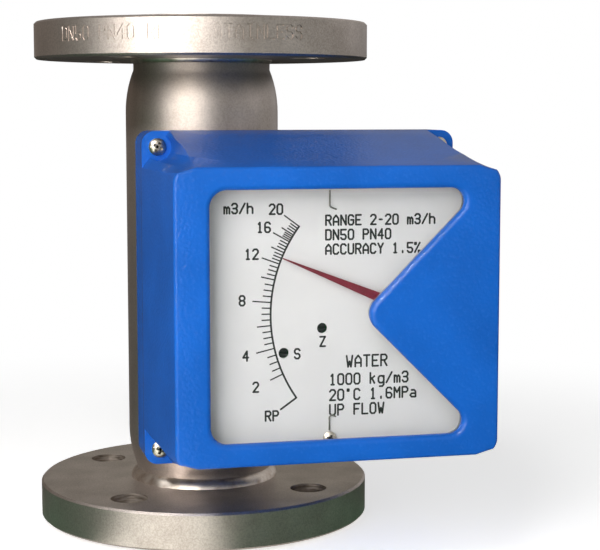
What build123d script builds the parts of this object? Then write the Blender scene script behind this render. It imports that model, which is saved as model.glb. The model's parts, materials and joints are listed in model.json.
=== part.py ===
from build123d import *
from math import cos, hypot, radians, sin, sqrt, tan
import os

# Metal tube rotameter in millimetres.
# The tube stands along +Z from the lower sealing face, and the dial looks along -Y.

# Flanges
face_to_face = 250.0
flange_thickness = 18.0
flange_edge_chamfer = 1.0
raised_face_diameter = 102.0
raised_face_height = 2.0
bolt_circle_diameter = 125.0
bolt_edge_distance = 20.0
flange_diameter = bolt_circle_diameter + 2 * bolt_edge_distance
bolt_hole_diameter = 18.0
bolt_hole_count = 4
bolt_hole_turn = 45.0
socket_depth = 12.0

# Flow tube
tube_diameter = 76.0
tube_wall = 4.0
tube_bore = tube_diameter - 2 * tube_wall
swage_step = 4.0
neck_diameter = tube_diameter - 2 * swage_step
neck_wall = 6.0
neck_bore = neck_diameter - 2 * neck_wall
neck_length = 26.0
neck_above_weld = 0.5
lower_weld_width = 3.2
lower_weld_height = 4.5
upper_weld_width = 1.2
upper_weld_height = 2.0
weld_crown = 0.62

# Float, and the metering cone welded inside the tube round it
float_to_tube = 11.4
float_diameter = tube_bore - 2 * float_to_tube
cone_start = 50.0
cone_length = 142.0
cone_lead = 8.0
cone_lead_wall = 4.0
cone_outlet_wall = 4.5
cone_throat_gap = 0.8
cone_edge = 1.0
float_edge_height = 2.0
float_nose_height = 12.0
float_tip_diameter = 16.0
float_body_diameter = 30.0
float_shoulder_height = 9.0
float_below_magnet = 28.0
float_above_magnet = 24.0
float_cap_height = 6.0
float_cap_chamfer = 2.0
float_cap_spigot = 4.0
float_bore_clearance = 0.5
float_sleeve_wall = 2.0
float_chamber_wall = 2.0
magnet_height = 22.0
bush_wall = 2.0
bush_length = 8.0
bush_clearance = 0.05

# Guides, guide rod and stops
guide_clearance = 0.1
guide_seat_depth = 1.0
guide_bore = neck_bore + 2 * guide_seat_depth
guide_ring_wall = 4.0
guide_ring_height = 4.8
guide_rib_count = 3
guide_rib_thickness = 3.0
guide_rib_height = 12.0
guide_rib_gap = 3.0
guide_hub_diameter = 15.0
guide_hub_length = 30.0
clip_thickness = 1.8
clip_groove_depth = 1.5
clip_land = 4.0
clip_side_play = 0.1
clip_opening_degrees = 50.0
clip_eye_turn = 6.0
clip_eye_shift = 0.5
clip_eye_radius = 2.6
clip_eye_hole = 1.1
rod_diameter = 8.0
rod_end_recess = 1.0
stop_diameter = 14.0
stop_clearance = 0.3

# Dial and pointer movement, placed by the pivot of the pointer
pivot_x = 72.2
pivot_z = 117.4
magnet_offset = 0.2
follower_radius = pivot_x - magnet_offset
reading_angle = 22.7
lowest_angle = -35.0
highest_angle = 36.6
travel_per_radian = 67.4

# Window, and the indicator housing round it
housing_z = 118.0
left_reach = 38.8
right_reach = 39.0
front_taper_x = 3.0
front_taper_z = 14.0
window_height = 108.4
window_rail = 9.6
window_left_stile = 15.5
window_right_stile = 16.3
window_left_corner = 7.5
window_right_corner = 6.0
window_notch_corner = 8.0
window_edge_fillet = 2.5
housing_width = left_reach + pivot_x + right_reach
housing_x = housing_width / 2 - left_reach
front_width = housing_width - 2 * front_taper_x
front_height = window_height + 2 * window_rail
housing_height = front_height + 2 * front_taper_z
housing_corner = 6.0
smallest_corner = 2.0
front_corner = 7.0
front_edge_fillet = 1.6
base_gap = 1.5
base_depth = 18.7
base_wall = 4.0
gasket_thickness = 0.8
gasket_width = 6.0
cover_rim_depth = 3.0
cover_depth = 74.5
cover_wall = 3.5
cover_screw_inset = 7.2
pad_width = 13.0
pad_height = 17.0
pad_ridge_drop = 2.5
screw_groove_diameter = 13.0
screw_boss_wall = 2.0

# Glass, its seal and its retainer
glass_thickness = 4.0
glass_margin = 4.0
seal_thickness = 1.0
seal_width = 3.2
seal_setback = 0.4
retainer_thickness = 1.2
retainer_setback = 1.0
retainer_side_gap = 4.25
retainer_lap = 0.5
retainer_corner = 3.0
retainer_boss_diameter = 6.5
retainer_screw_spread = 76.0
retainer_boss_overlap = 0.2

# Dial
dial_setback = 14.0
dial_thickness = 1.0
dial_side_gap = 8.0
dial_beyond_window = 5.8
dial_shift = -1.2
dial_corner = 4.0
dial_shaft_hole = 11.0
dial_screw_x = 34.2
dial_screw_below_window = 1.4
dial_screw_above_window = 2.4
trim_hole_diameter = 4.6
span_x = 13.8
span_z = 100.7
trim_spread_x = 17.2
trim_spread_z = 10.4
zero_x = span_x + trim_spread_x
zero_z = span_z + trim_spread_z
hook_wire = 0.7
hook_lap = 0.6
hook_length = 7.2
hook_turn = 3.0
hook_drop = 1.2
hook_bend = 1.2

# Pointer and follower
shaft_diameter = 3.0
shaft_clearance = 0.04
shaft_tail_gap = 0.5
shaft_nose = 0.6
pointer_length = 64.3
pointer_tail = 16.0
pointer_root_width = 5.5
pointer_tail_width = 6.5
pointer_tip_width = 0.5
pointer_thickness = 0.5
pointer_dial_gap = 2.4
pointer_hub_diameter = 7.0
pointer_hub_gap = 0.4
hub_diameter = 9.0
hub_height = 3.4
arm_width = 6.0
arm_end_width = 4.0
arm_tail_width = 5.0
arm_eye_wall = 2.5
arm_thickness = 1.5
arm_floor_gap = 8.0
follower_magnet_width = 8.0
follower_magnet_height = 20.0
follower_magnet_depth = 8.0
counterweight_clearance = 2.0
counterweight_diameter = 11.0
counterweight_length = 9.0
counterweight_back = 3.0
counterweight_radius = right_reach - gasket_width - counterweight_clearance - counterweight_diameter
brake_disc_diameter = 44.0
brake_disc_thickness = 1.0
brake_disc_gap = 1.0
brake_disc_stand = 6.0
brake_magnet_diameter = 10.0
brake_magnet_thickness = 1.7
brake_yoke_width = 16.0
brake_yoke_wall = 3.3
brake_yoke_gap = 2.0

# Movement plate and board
pillar_height = 20.5
pillar_diameter = 9.0
pillar_inset_x = 7.0
pillar_inset_z = 15.0
plate_thickness = 2.0
plate_side_gap = 11.5
plate_end_gap = 16.8
plate_shift = 1.3
plate_corner = 5.0
plate_width = housing_width - 2 * plate_side_gap
plate_height = housing_height - 2 * plate_end_gap
bearing_diameter = 8.0
bearing_flange_diameter = 11.0
bearing_flange_thickness = 1.2
bearing_boss_diameter = 13.0
bearing_boss_height = 2.6
board_stand = 32.0
board_thickness = 1.6
board_inset_x = 9.5
board_inset_z = 15.0
board_width = plate_width - 2 * board_inset_x
board_height = plate_height - 2 * board_inset_z
board_post_inset = 6.0
board_shaft_gap = 3.5
post_width = 6.0
trimmer_width = 9.6
trimmer_height = 5.0
trimmer_corner = 0.8
trim_shaft_diameter = 4.0
trim_shaft_gap = 0.7
trim_slot_width = 0.8
trim_slot_depth = 1.2
trim_floor_gap = 0.1
trim_floor = 1.0
sensor_magnet_diameter = 11.0
sensor_magnet_length = 5.0
sensor_gap = 1.0
sensor_size = 4.0
sensor_thickness = 1.4
sensor_edge_gap = 0.5
terminal_width = 26.0
terminal_height = 10.0
terminal_depth = 13.0
terminal_edge_gap = 2.0
terminal_ways = 4
terminal_well_diameter = 3.6
terminal_well_depth = 3.0
terminal_well_rise = 1.5
terminal_entry_height = 4.0

# Bracket, screws and cable entry
bracket_width = 60.0
bracket_end_gap = 22.8
bracket_height = housing_height - 2 * bracket_end_gap
bracket_screw_inset_x = 8.0
bracket_screw_inset_z = 25.0
bracket_screw_reach = 5.5
bracket_screw_diameter = 5.0
cover_screw_diameter = 4.0
small_screw_diameter = 3.0
head_ratio = 2.0
head_height_ratio = 0.62
screw_reach = 7.0
gland_z = 75.0
gland_thread_diameter = 16.0
gland_sleeve_diameter = 14.0
gland_sleeve_length = 5.0
gland_bore_diameter = 10.0
gland_pin_diameter = 6.0
gland_pin_tail = 4.0
gland_seal_tail = 3.0
gland_seal_recess = 0.5
gland_hex_width = 18.0
gland_hex_height = 5.0
gland_nut_height = 10.0
gland_dome_height = 3.0
gland_dome_edge = 0.5
gland_boss_depth = 7.0
gland_boss_height = 22.0
earth_z = 106.0
earth_washer_diameter = 10.0
earth_washer_thickness = 1.0

# Levels along Y that follow from the sizes above
tube_radius = tube_diameter / 2
base_back = -(tube_radius + base_gap)
base_floor = base_back - base_wall
base_rim = base_back - base_depth
cover_back = base_rim - gasket_thickness
pad_face = cover_back - cover_rim_depth
front_face = pad_face - cover_depth
inner_front = front_face + cover_wall
seal_back = inner_front + seal_thickness
glass_back = seal_back + glass_thickness
retainer_back = glass_back + retainer_thickness
dial_face = front_face + dial_setback
dial_back = dial_face + dial_thickness
plate_back = base_floor - pillar_height
plate_front = plate_back - plate_thickness
board_back = plate_front - board_stand
board_front = board_back - board_thickness
arm_back = base_floor - arm_floor_gap
disc_back = plate_front - brake_disc_stand
pointer_back = dial_face - pointer_dial_gap

# Places across the housing and the window
housing_right = housing_x + housing_width / 2
window_left = housing_x - front_width / 2 + window_left_stile
window_right = housing_x + front_width / 2 - window_right_stile
corner_run = window_right_corner / tan(radians(22.5))
notch_tip = window_right - window_right_corner - window_height / 2 + corner_run

# Float and pointer at rest share one reading
flange_back = raised_face_height + flange_thickness
tube_end = flange_back - socket_depth
hub_end = tube_end - guide_ring_height + guide_hub_length
magnet_rest = pivot_z + travel_per_radian * radians(reading_angle)
magnet_lowest = pivot_z + travel_per_radian * radians(lowest_angle)
magnet_highest = pivot_z + travel_per_radian * radians(highest_angle)
head_diameter = cover_screw_diameter * head_ratio


def facing(y):
    """A drawing plane at depth y, seen from the front: right is +X, up is +Z."""
    return Plane(origin=(0, y, 0), x_dir=(1, 0, 0), z_dir=(0, -1, 0))


def slab(outline, back, front):
    """The outline, drawn in X and Z, as a plate between two depths."""
    return extrude(facing(back) * outline, amount=back - front)


def rod_y(x, z, back, front, diameter):
    return slab(Pos(x, z) * Circle(diameter / 2), back, front)


def turned(points):
    """A turned piece about the tube's axis from its half section in radius and height."""
    return revolve(Plane.XZ * make_face(Polyline(*points, close=True)), Axis.Z)


def mirrored_top(piece):
    return mirror(piece, about=Plane.XY.offset(face_to_face / 2))


def spread(width, height, x, z):
    return [(x + i * width / 2, z + k * height / 2) for i in (-1, 1) for k in (-1, 1)]


# Flow body

def flange():
    bore = guide_bore / 2
    groove = bore + clip_groove_depth
    outer = flange_diameter / 2
    socket = neck_diameter / 2
    back = flange_back
    edge = flange_edge_chamfer
    clip_low = tube_end - guide_ring_height - clip_thickness - clip_side_play
    clip_high = tube_end - guide_ring_height
    section = [
        (bore, 0), (raised_face_diameter / 2, 0), (raised_face_diameter / 2, raised_face_height),
        (outer - edge, raised_face_height), (outer, raised_face_height + edge), (outer, back - edge),
        (outer - edge, back), (socket, back), (socket, tube_end), (bore, tube_end),
        (bore, clip_high), (groove, clip_high), (groove, clip_low), (bore, clip_low),
    ]
    body = turned(section)
    for place in PolarLocations(bolt_circle_diameter / 2, bolt_hole_count, bolt_hole_turn):
        body -= place * Pos(0, 0, back / 2) * Cylinder(bolt_hole_diameter / 2, 2 * back)
    return body


def tube_side(radius, neck_radius, start, end):
    """One wall line of the tube: straight necks, and swaged shoulders that bulge outwards."""
    low = flange_back + lower_weld_height + neck_above_weld
    full_low = flange_back + neck_length
    high = face_to_face - low
    full_high = face_to_face - full_low
    return [
        Line((neck_radius, start), (neck_radius, low)),
        TangentArc((radius, full_low), (neck_radius, low), tangent=(0, -1)),
        Line((radius, full_low), (radius, full_high)),
        TangentArc((radius, full_high), (neck_radius, high), tangent=(0, 1)),
        Line((neck_radius, high), (neck_radius, end)),
    ]


def measuring_tube():
    start = tube_end
    end = face_to_face - tube_end
    outer = tube_side(tube_radius, neck_diameter / 2, start, end)
    inner = tube_side(tube_bore / 2, neck_bore / 2, start, end)
    ends = [
        Line((neck_bore / 2, start), (neck_diameter / 2, start)),
        Line((neck_bore / 2, end), (neck_diameter / 2, end)),
    ]
    return revolve(Plane.XZ * make_face([*outer, *inner, *ends]), Axis.Z)


def weld_bead(width, height):
    """A fillet weld with a slightly crowned face, round the neck on the flange."""
    neck = neck_diameter / 2
    low = flange_back
    crown = (neck + weld_crown * width, low + weld_crown * height)
    section = [
        Line((neck, low), (neck + width, low)),
        ThreePointArc((neck + width, low), crown, (neck, low + height)),
        Line((neck, low + height), (neck, low)),
    ]
    return revolve(Plane.XZ * make_face(section), Axis.Z)


def metering_cone():
    outer = tube_bore / 2
    throat = float_diameter / 2 + cone_throat_gap
    end = cone_start + cone_length
    return turned([
        (outer, cone_start), (outer - cone_lead_wall, cone_start), (throat, cone_start + cone_lead),
        (outer - cone_outlet_wall, end - cone_lead), (outer - cone_edge, end), (outer, end),
    ])


def guide():
    """A three-armed spider: its ring stands against the tube's end, its hub holds the rod."""
    outer = guide_bore / 2 - guide_clearance
    low = tube_end - guide_ring_height
    ring = Pos(0, 0, low) * extrude(Circle(outer) - Circle(outer - guide_ring_wall), guide_ring_height)
    arm_reach = outer - guide_ring_wall / 2
    arm = Pos(arm_reach / 2, 0, low + guide_ring_height / 2)
    arm *= Box(arm_reach, guide_rib_thickness, guide_ring_height)
    web_reach = neck_bore / 2 - guide_rib_gap
    web = Pos(web_reach / 2, 0, low + guide_rib_height / 2)
    web *= Box(web_reach, guide_rib_thickness, guide_rib_height)
    body = ring + Pos(0, 0, low) * extrude(Circle(guide_hub_diameter / 2), guide_hub_length)
    for place in PolarLocations(0, guide_rib_count, 90):
        body += place * (arm + web)
    return body - Pos(0, 0, low) * extrude(Circle(rod_diameter / 2), guide_hub_length)


def guide_clip():
    """An internal retaining ring with its two eyes, in the groove below the guide."""
    outer = guide_bore / 2 + clip_groove_depth - guide_clearance
    inner = guide_bore / 2 - clip_land
    low = tube_end - guide_ring_height - clip_thickness
    half = clip_opening_degrees / 2
    wedge_reach = 2 * outer
    wedge = make_face(Polyline(
        (0, 0), (wedge_reach * cos(radians(half)), -wedge_reach * sin(radians(half))),
        (wedge_reach * cos(radians(half)), wedge_reach * sin(radians(half))), close=True))
    outline = Circle(outer) - Circle(inner) - wedge
    reach = inner + clip_eye_shift
    for side in (-1, 1):
        angle = radians(half + clip_eye_turn) * side
        eye = Pos(reach * cos(angle), reach * sin(angle))
        outline += eye * Circle(clip_eye_radius)
        outline -= eye * Circle(clip_eye_hole)
    return Pos(0, 0, low) * extrude(outline, clip_thickness)


def guide_rod():
    low = tube_end - guide_ring_height + rod_end_recess
    return Pos(0, 0, low) * extrude(Circle(rod_diameter / 2), face_to_face - 2 * low)


def stop_sleeve(low, high):
    ring = Circle(stop_diameter / 2) - Circle(rod_diameter / 2)
    return Pos(0, 0, low) * extrude(ring, high - low)


# Float assembly, at the height of its magnet

def float_body():
    sleeve = rod_diameter / 2 + float_bore_clearance + float_sleeve_wall
    bore = rod_diameter / 2 + float_bore_clearance
    chamber = float_body_diameter / 2 - float_chamber_wall
    bush = rod_diameter / 2 + bush_clearance + bush_wall
    low = magnet_rest - float_below_magnet
    edge = low + float_nose_height
    floor = magnet_rest - magnet_height / 2
    top = magnet_rest + float_above_magnet
    sleeve_top = top - float_cap_spigot
    return turned([
        (bush, low), (float_tip_diameter / 2, low), (float_diameter / 2, edge),
        (float_diameter / 2, edge + float_edge_height),
        (float_body_diameter / 2, edge + float_edge_height + float_shoulder_height),
        (float_body_diameter / 2, top), (chamber, top), (chamber, floor), (sleeve, floor),
        (sleeve, sleeve_top), (bore, sleeve_top), (bore, low + bush_length), (bush, low + bush_length),
    ])


def float_magnet():
    inner = rod_diameter / 2 + float_bore_clearance + float_sleeve_wall
    outer = float_body_diameter / 2 - float_chamber_wall
    ring = Circle(outer) - Circle(inner)
    return Pos(0, 0, magnet_rest - magnet_height / 2) * extrude(ring, magnet_height)


def float_cap():
    """The threaded plug that closes the magnet chamber and carries the upper bush."""
    sleeve = rod_diameter / 2 + float_bore_clearance + float_sleeve_wall
    chamber = float_body_diameter / 2 - float_chamber_wall
    bush = rod_diameter / 2 + bush_clearance + bush_wall
    plug = magnet_rest + magnet_height / 2
    seat = magnet_rest + float_above_magnet
    top = seat + float_cap_height
    outer = float_body_diameter / 2
    return turned([
        (sleeve, plug), (chamber, plug), (chamber, seat), (outer, seat),
        (outer, top - float_cap_chamfer), (outer - float_cap_chamfer, top), (bush, top),
        (bush, seat - float_cap_spigot), (sleeve, seat - float_cap_spigot),
    ])


def float_bush(low, high):
    inner = rod_diameter / 2 + bush_clearance
    return Pos(0, 0, low) * extrude(Circle(inner + bush_wall) - Circle(inner), high - low)


# Housing base and bracket

def saddle_bracket():
    """A block cut to the tube's curve on its back and flat to the base on its front."""
    half = bracket_width / 2
    block = slab(Pos(0, housing_z) * Rectangle(bracket_width, bracket_height), 0, base_back)
    block -= Pos(0, 0, housing_z) * Cylinder(tube_radius, 2 * bracket_height)
    side = sqrt(tube_radius ** 2 - half ** 2)
    for x, z in bracket_screws():
        hole_end = base_back + bracket_screw_reach
        block -= rod_y(x, z, hole_end, base_back, bracket_screw_diameter)
    keep = slab(Pos(0, housing_z) * Rectangle(2 * half, bracket_height), -side, base_back)
    return block & keep


def bracket_screws():
    width = bracket_width - 2 * bracket_screw_inset_x
    height = bracket_height - 2 * bracket_screw_inset_z
    return spread(width, height, 0, housing_z)


def cover_screws():
    width = housing_width - 2 * cover_screw_inset
    height = housing_height - 2 * cover_screw_inset
    return spread(width, height, housing_x, housing_z)


def plate_screws():
    width = plate_width - 2 * pillar_inset_x
    height = plate_height - 2 * pillar_inset_z
    return spread(width, height, housing_x + plate_shift, housing_z)


def housing_outline(inset=0.0):
    width = housing_width - 2 * inset
    height = housing_height - 2 * inset
    corner = max(housing_corner - inset, smallest_corner)
    return Pos(housing_x, housing_z) * RectangleRounded(width, height, corner)


def housing_base():
    body = slab(housing_outline(), base_back, base_rim)
    body -= slab(housing_outline(base_wall), base_floor, base_rim)
    hollow = slab(housing_outline(), base_back, base_rim)
    for x, z in cover_screws():
        boss = rod_y(x, z, base_floor, base_rim, head_diameter + 2 * screw_boss_wall)
        body += boss & hollow
    for x, z in plate_screws():
        body += rod_y(x, z, base_floor, plate_back, pillar_diameter)
    body += rod_y(pivot_x, pivot_z, base_floor, base_floor - bearing_boss_height, bearing_boss_diameter)
    boss_x = housing_right - base_wall - gland_boss_depth / 2
    boss = Pos(boss_x, gland_z) * Rectangle(gland_boss_depth, gland_boss_height)
    body += slab(boss, base_floor, base_rim)
    for x, z in cover_screws():
        body -= rod_y(x, z, base_rim + cover_screw_reach(), base_rim, cover_screw_diameter)
    for x, z in plate_screws():
        body -= rod_y(x, z, plate_back + screw_reach, plate_back, cover_screw_diameter)
    for x, z in bracket_screws():
        body -= rod_y(x, z, base_back, base_floor, bracket_screw_diameter)
    body -= rod_y(pivot_x, pivot_z, base_floor, base_floor - bearing_boss_height, bearing_diameter)
    body -= gland_rod(gland_start(), housing_right, gland_thread_diameter)
    body -= earth_rod(housing_right - base_wall, housing_right, cover_screw_diameter)
    return body


def cover_screw_reach():
    return screw_reach + cover_rim_depth


def base_gasket():
    ring = housing_outline() - housing_outline(gasket_width)
    for x, z in cover_screws():
        ring += (Pos(x, z) * Circle(head_diameter / 2 + screw_boss_wall)) & housing_outline()
    for x, z in cover_screws():
        ring -= Pos(x, z) * Circle(cover_screw_diameter / 2)
    return slab(ring, base_rim, cover_back)


# Cover with its window

def tapered(inset, back, front):
    """The cover's tapering form between two depths, its faces moved in by the inset."""
    sections = []
    for y in (back, front):
        share = (pad_face - y) / cover_depth
        width = housing_width + share * (front_width - housing_width) - 2 * inset
        height = housing_height + share * (front_height - housing_height) - 2 * inset
        corner = housing_corner + share * (front_corner - housing_corner)
        outline = RectangleRounded(width, height, max(corner - inset, smallest_corner))
        sections.append(facing(y) * Pos(housing_x, housing_z) * outline)
    return loft(sections)


def bevel_triangle(side, rise, width, height, run, drop, extra):
    """The triangle a bevel takes off one corner of a width and height, moved in by extra."""
    slope = hypot(run, drop)
    across = run + extra * slope / drop
    down = drop + extra * slope / run
    corner_x = housing_x + side * width / 2
    corner_z = housing_z + rise * height / 2
    apex = (corner_x + side * across / 2, corner_z + rise * down / 2)
    return [(apex[0] - side * 2 * across, apex[1]), apex, (apex[0], apex[1] - rise * 2 * down)]


def bevel_section(side, rise, share, extra):
    """The bevel's triangle at a depth: share 0 is at the pads and 1 is at the cover's front."""
    pad = bevel_triangle(side, rise, housing_width, housing_height, pad_width, pad_height, extra)
    run = pad_width - front_taper_x
    front = bevel_triangle(side, rise, front_width, front_height, run, pad_ridge_drop, extra)
    points = [(a + share * (c - a), b + share * (d - b)) for (a, b), (c, d) in zip(pad, front)]
    return facing(pad_face - share * cover_depth) * make_face(Polyline(*points, close=True))


def screw_pocket(x, z, back, extra):
    """The cut that bares a corner pad: a bevel that runs out forwards and a groove round the screw."""
    side = 1 if x > housing_x else -1
    rise = 1 if z > housing_z else -1
    start = (pad_face - back) / cover_depth
    end = 1.0 + cover_wall / cover_depth
    bevel = loft([bevel_section(side, rise, share, extra) for share in (start, end)], ruled=True)
    groove = rod_y(x, z, back, 2 * front_face, screw_groove_diameter + 2 * extra)
    return bevel + groove


def window_outline(grow=0.0):
    """The opening: a rectangle with a V of 90 degrees pointing in from the right."""
    half = window_height / 2
    corners = [
        (window_left, housing_z + half), (notch_tip + half, housing_z + half), (notch_tip, housing_z),
        (notch_tip + half, housing_z - half), (window_left, housing_z - half),
    ]
    left, right = window_left_corner, window_right_corner
    outline = FilletPolyline(*corners, radius=[left, right, window_notch_corner, right, left], close=True)
    return offset(make_face(outline), grow) if grow else make_face(outline)


def glass_outline():
    left = window_left - glass_margin
    right = window_right + glass_margin
    height = window_height + 2 * glass_margin
    return Pos((left + right) / 2, housing_z) * Rectangle(right - left, height)


def retainer_screws():
    reach = front_width / 2 - cover_wall - retainer_boss_diameter / 2 + retainer_boss_overlap
    return spread(2 * reach, retainer_screw_spread, housing_x, housing_z)


def front_edges(shell, round_window):
    """The edges of the cover's front, either those round the window or those round the outside."""
    reach_x = front_width / 2 - window_left_stile / 2
    reach_z = front_height / 2 - window_rail / 2
    chosen = []
    for edge in shell.faces().sort_by(Axis.Y)[0].edges():
        middle = edge.center()
        inside = abs(middle.X - housing_x) < reach_x and abs(middle.Z - housing_z) < reach_z
        if inside == round_window:
            chosen.append(edge)
    return chosen


def cover():
    rim = slab(housing_outline(), cover_back, pad_face)
    shell = tapered(0, pad_face, front_face) - slab(window_outline(), inner_front, front_face)
    shell = fillet(front_edges(shell, True), window_edge_fillet)
    cavity = tapered(cover_wall, cover_back, inner_front)
    for x, z in cover_screws():
        shell -= screw_pocket(x, z, pad_face, 0)
        cavity -= screw_pocket(x, z, base_rim, cover_wall)
    shell = fillet(front_edges(shell, False), front_edge_fillet)
    body = rim + shell - cavity
    for x, z in retainer_screws():
        body += rod_y(x, z, glass_back, inner_front, retainer_boss_diameter)
        body -= rod_y(x, z, glass_back, seal_back, small_screw_diameter)
    for x, z in cover_screws():
        body -= rod_y(x, z, cover_back, pad_face, cover_screw_diameter)
    return body


def window_seal():
    ring = window_outline(seal_setback + seal_width) - window_outline(seal_setback)
    return slab(ring & glass_outline(), seal_back, inner_front)


def window_glass():
    return slab(glass_outline(), glass_back, seal_back)


def glass_retainer():
    width = front_width - 2 * retainer_side_gap
    height = window_height + 2 * (glass_margin + retainer_lap)
    plate = Pos(housing_x, housing_z) * RectangleRounded(width, height, retainer_corner)
    plate -= window_outline(retainer_setback)
    for x, z in retainer_screws():
        plate -= Pos(x, z) * Circle(small_screw_diameter / 2)
    return slab(plate, retainer_back, glass_back)


# Dial, pointer and follower

def dial_plate():
    width = front_width - 2 * dial_side_gap
    height = window_height + 2 * dial_beyond_window
    plate = Pos(housing_x + dial_shift, housing_z) * RectangleRounded(width, height, dial_corner)
    plate -= Pos(pivot_x, pivot_z) * Circle(dial_shaft_hole / 2)
    for x, z in trims():
        plate -= Pos(x, z) * Circle(trim_hole_diameter / 2)
    for x, z in dial_screws():
        plate -= Pos(x, z) * Circle(small_screw_diameter / 2)
    return slab(plate, dial_back, dial_face)


def trims():
    return [(zero_x, zero_z), (span_x, span_z)]


def dial_screws():
    low = housing_z - window_height / 2 - dial_screw_below_window
    high = housing_z + window_height / 2 + dial_screw_above_window
    return [(dial_screw_x, low), (dial_screw_x, high)]


def wire_hook(x, z, rise):
    """A thin wire held under a dial screw, bent to a small hook that points right and down."""
    y = dial_face - hook_wire / 2
    foot = z - rise * (head_diameter / 2 - hook_lap)
    end = foot - rise * hook_length
    path = FilletPolyline((x, y, foot), (x, y, end), (x + hook_turn, y, end - hook_drop), radius=hook_bend)
    profile = Plane(origin=(x, y, foot), z_dir=(0, 0, -rise)) * Circle(hook_wire / 2)
    return sweep(profile, path=path)


def about_pivot(piece):
    """Turn a piece drawn with its arm along -X to the reading at rest."""
    return Pos(pivot_x, 0, pivot_z) * Rot(0, reading_angle, 0) * piece


def arm_outline():
    """A tapered arm from the magnet clip past the hub to the counterweight."""
    reach = follower_radius - follower_magnet_width / 2
    bar = make_face(Polyline(
        (-reach, -arm_end_width / 2), (-reach, arm_end_width / 2), (0, arm_width / 2),
        (counterweight_radius, arm_tail_width / 2), (counterweight_radius, -arm_tail_width / 2),
        (0, -arm_width / 2), close=True))
    return bar + Circle(arm_width / 2 + arm_eye_wall) - Circle(shaft_diameter / 2)


def follower_arm():
    return about_pivot(slab(arm_outline(), arm_back, arm_back - arm_thickness))


def follower_magnet():
    block = Pos(-follower_radius, 0) * Rectangle(follower_magnet_width, follower_magnet_height)
    depth = follower_magnet_depth / 2
    middle = arm_back - arm_thickness / 2
    return about_pivot(slab(block, middle + depth, middle - depth))


def counterweight():
    x = counterweight_radius + counterweight_diameter / 2
    back = arm_back - arm_thickness / 2 + counterweight_back
    return about_pivot(rod_y(x, 0, back, back - counterweight_length, counterweight_diameter))


def follower_shaft():
    tail = base_floor - shaft_tail_gap
    nose = pointer_back - pointer_thickness - shaft_nose
    return rod_y(pivot_x, pivot_z, tail, nose, shaft_diameter)


def arm_hub():
    ring = Circle(hub_diameter / 2) - Circle(shaft_diameter / 2)
    front = arm_back - arm_thickness
    return Pos(pivot_x, 0, pivot_z) * slab(ring, front, front - hub_height)


def brake_disc():
    disc = Circle(brake_disc_diameter / 2) - Circle(shaft_diameter / 2)
    return Pos(pivot_x, 0, pivot_z) * slab(disc, disc_back, disc_back - brake_disc_thickness)


def sensor_magnet():
    front = board_back + sensor_thickness + sensor_gap
    ring = Circle(sensor_magnet_diameter / 2) - Circle(shaft_diameter / 2)
    return Pos(pivot_x, 0, pivot_z) * slab(ring, front + sensor_magnet_length, front)


def pointer():
    half_root = pointer_root_width / 2
    half_tip = pointer_tip_width / 2
    half_tail = pointer_tail_width / 2
    needle = make_face(Polyline(
        (-pointer_length, -half_tip), (-pointer_length, half_tip), (0, half_root),
        (pointer_tail, half_tail), (pointer_tail, -half_tail), (0, -half_root), close=True))
    needle += Circle(hub_diameter / 2)
    needle -= Circle(shaft_diameter / 2)
    return about_pivot(slab(needle, pointer_back, pointer_back - pointer_thickness))


def pointer_hub():
    ring = Circle(pointer_hub_diameter / 2) - Circle(shaft_diameter / 2)
    return Pos(pivot_x, 0, pivot_z) * slab(ring, dial_face - pointer_hub_gap, pointer_back)


# Movement plate, bearings, brake and board

def movement_plate():
    outline = RectangleRounded(plate_width, plate_height, plate_corner)
    plate = Pos(housing_x + plate_shift, housing_z) * outline
    plate -= Pos(pivot_x, pivot_z) * Circle(bearing_diameter / 2)
    screws = [(plate_screws(), cover_screw_diameter), (board_posts(), small_screw_diameter),
              (dial_screws(), small_screw_diameter)]
    for places, diameter in screws:
        for x, z in places:
            plate -= Pos(x, z) * Circle(diameter / 2)
    return slab(plate, plate_back, plate_front)


def bearing(back, front, flanged):
    bore = Circle(shaft_diameter / 2 + shaft_clearance)
    body = slab(Circle(bearing_diameter / 2) - bore, back, front)
    if flanged:
        body += slab(Circle(bearing_flange_diameter / 2) - bore, front, front - bearing_flange_thickness)
    return Pos(pivot_x, 0, pivot_z) * body


def brake_yoke():
    """A C-shaped yoke on the plate, open towards the shaft so that the disc runs through it."""
    inner = brake_disc_diameter / 2 - brake_magnet_diameter
    outer = brake_disc_diameter / 2 + brake_yoke_gap + brake_yoke_wall
    far = brake_slot_front() - brake_yoke_wall
    block = Pos(pivot_x, pivot_z + (inner + outer) / 2) * Rectangle(brake_yoke_width, outer - inner)
    body = slab(block, plate_front, far)
    slot_top = outer - brake_yoke_wall
    slot_height = slot_top - inner + brake_yoke_wall
    slot = Pos(pivot_x, pivot_z + slot_top - slot_height / 2) * Rectangle(2 * brake_yoke_width, slot_height)
    return body - slab(slot, brake_slot_back(), brake_slot_front())


def brake_slot_back():
    return disc_back + brake_disc_gap + brake_magnet_thickness


def brake_slot_front():
    return disc_back - brake_disc_thickness - brake_disc_gap - brake_magnet_thickness


def brake_magnets():
    z = pivot_z + brake_disc_diameter / 2 - brake_magnet_diameter / 2
    back = rod_y(pivot_x, z, brake_slot_back(), disc_back + brake_disc_gap, brake_magnet_diameter)
    face = disc_back - brake_disc_thickness - brake_disc_gap
    front = rod_y(pivot_x, z, face, brake_slot_front(), brake_magnet_diameter)
    return [back, front]


def board_posts():
    width = board_width - 2 * board_post_inset
    height = board_height - 2 * board_post_inset
    return spread(width, height, housing_x + dial_shift, housing_z)


def hex_post(x, z, back, front):
    return slab(Pos(x, z) * RegularPolygon(post_width / 2, 6, major_radius=False), back, front)


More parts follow.
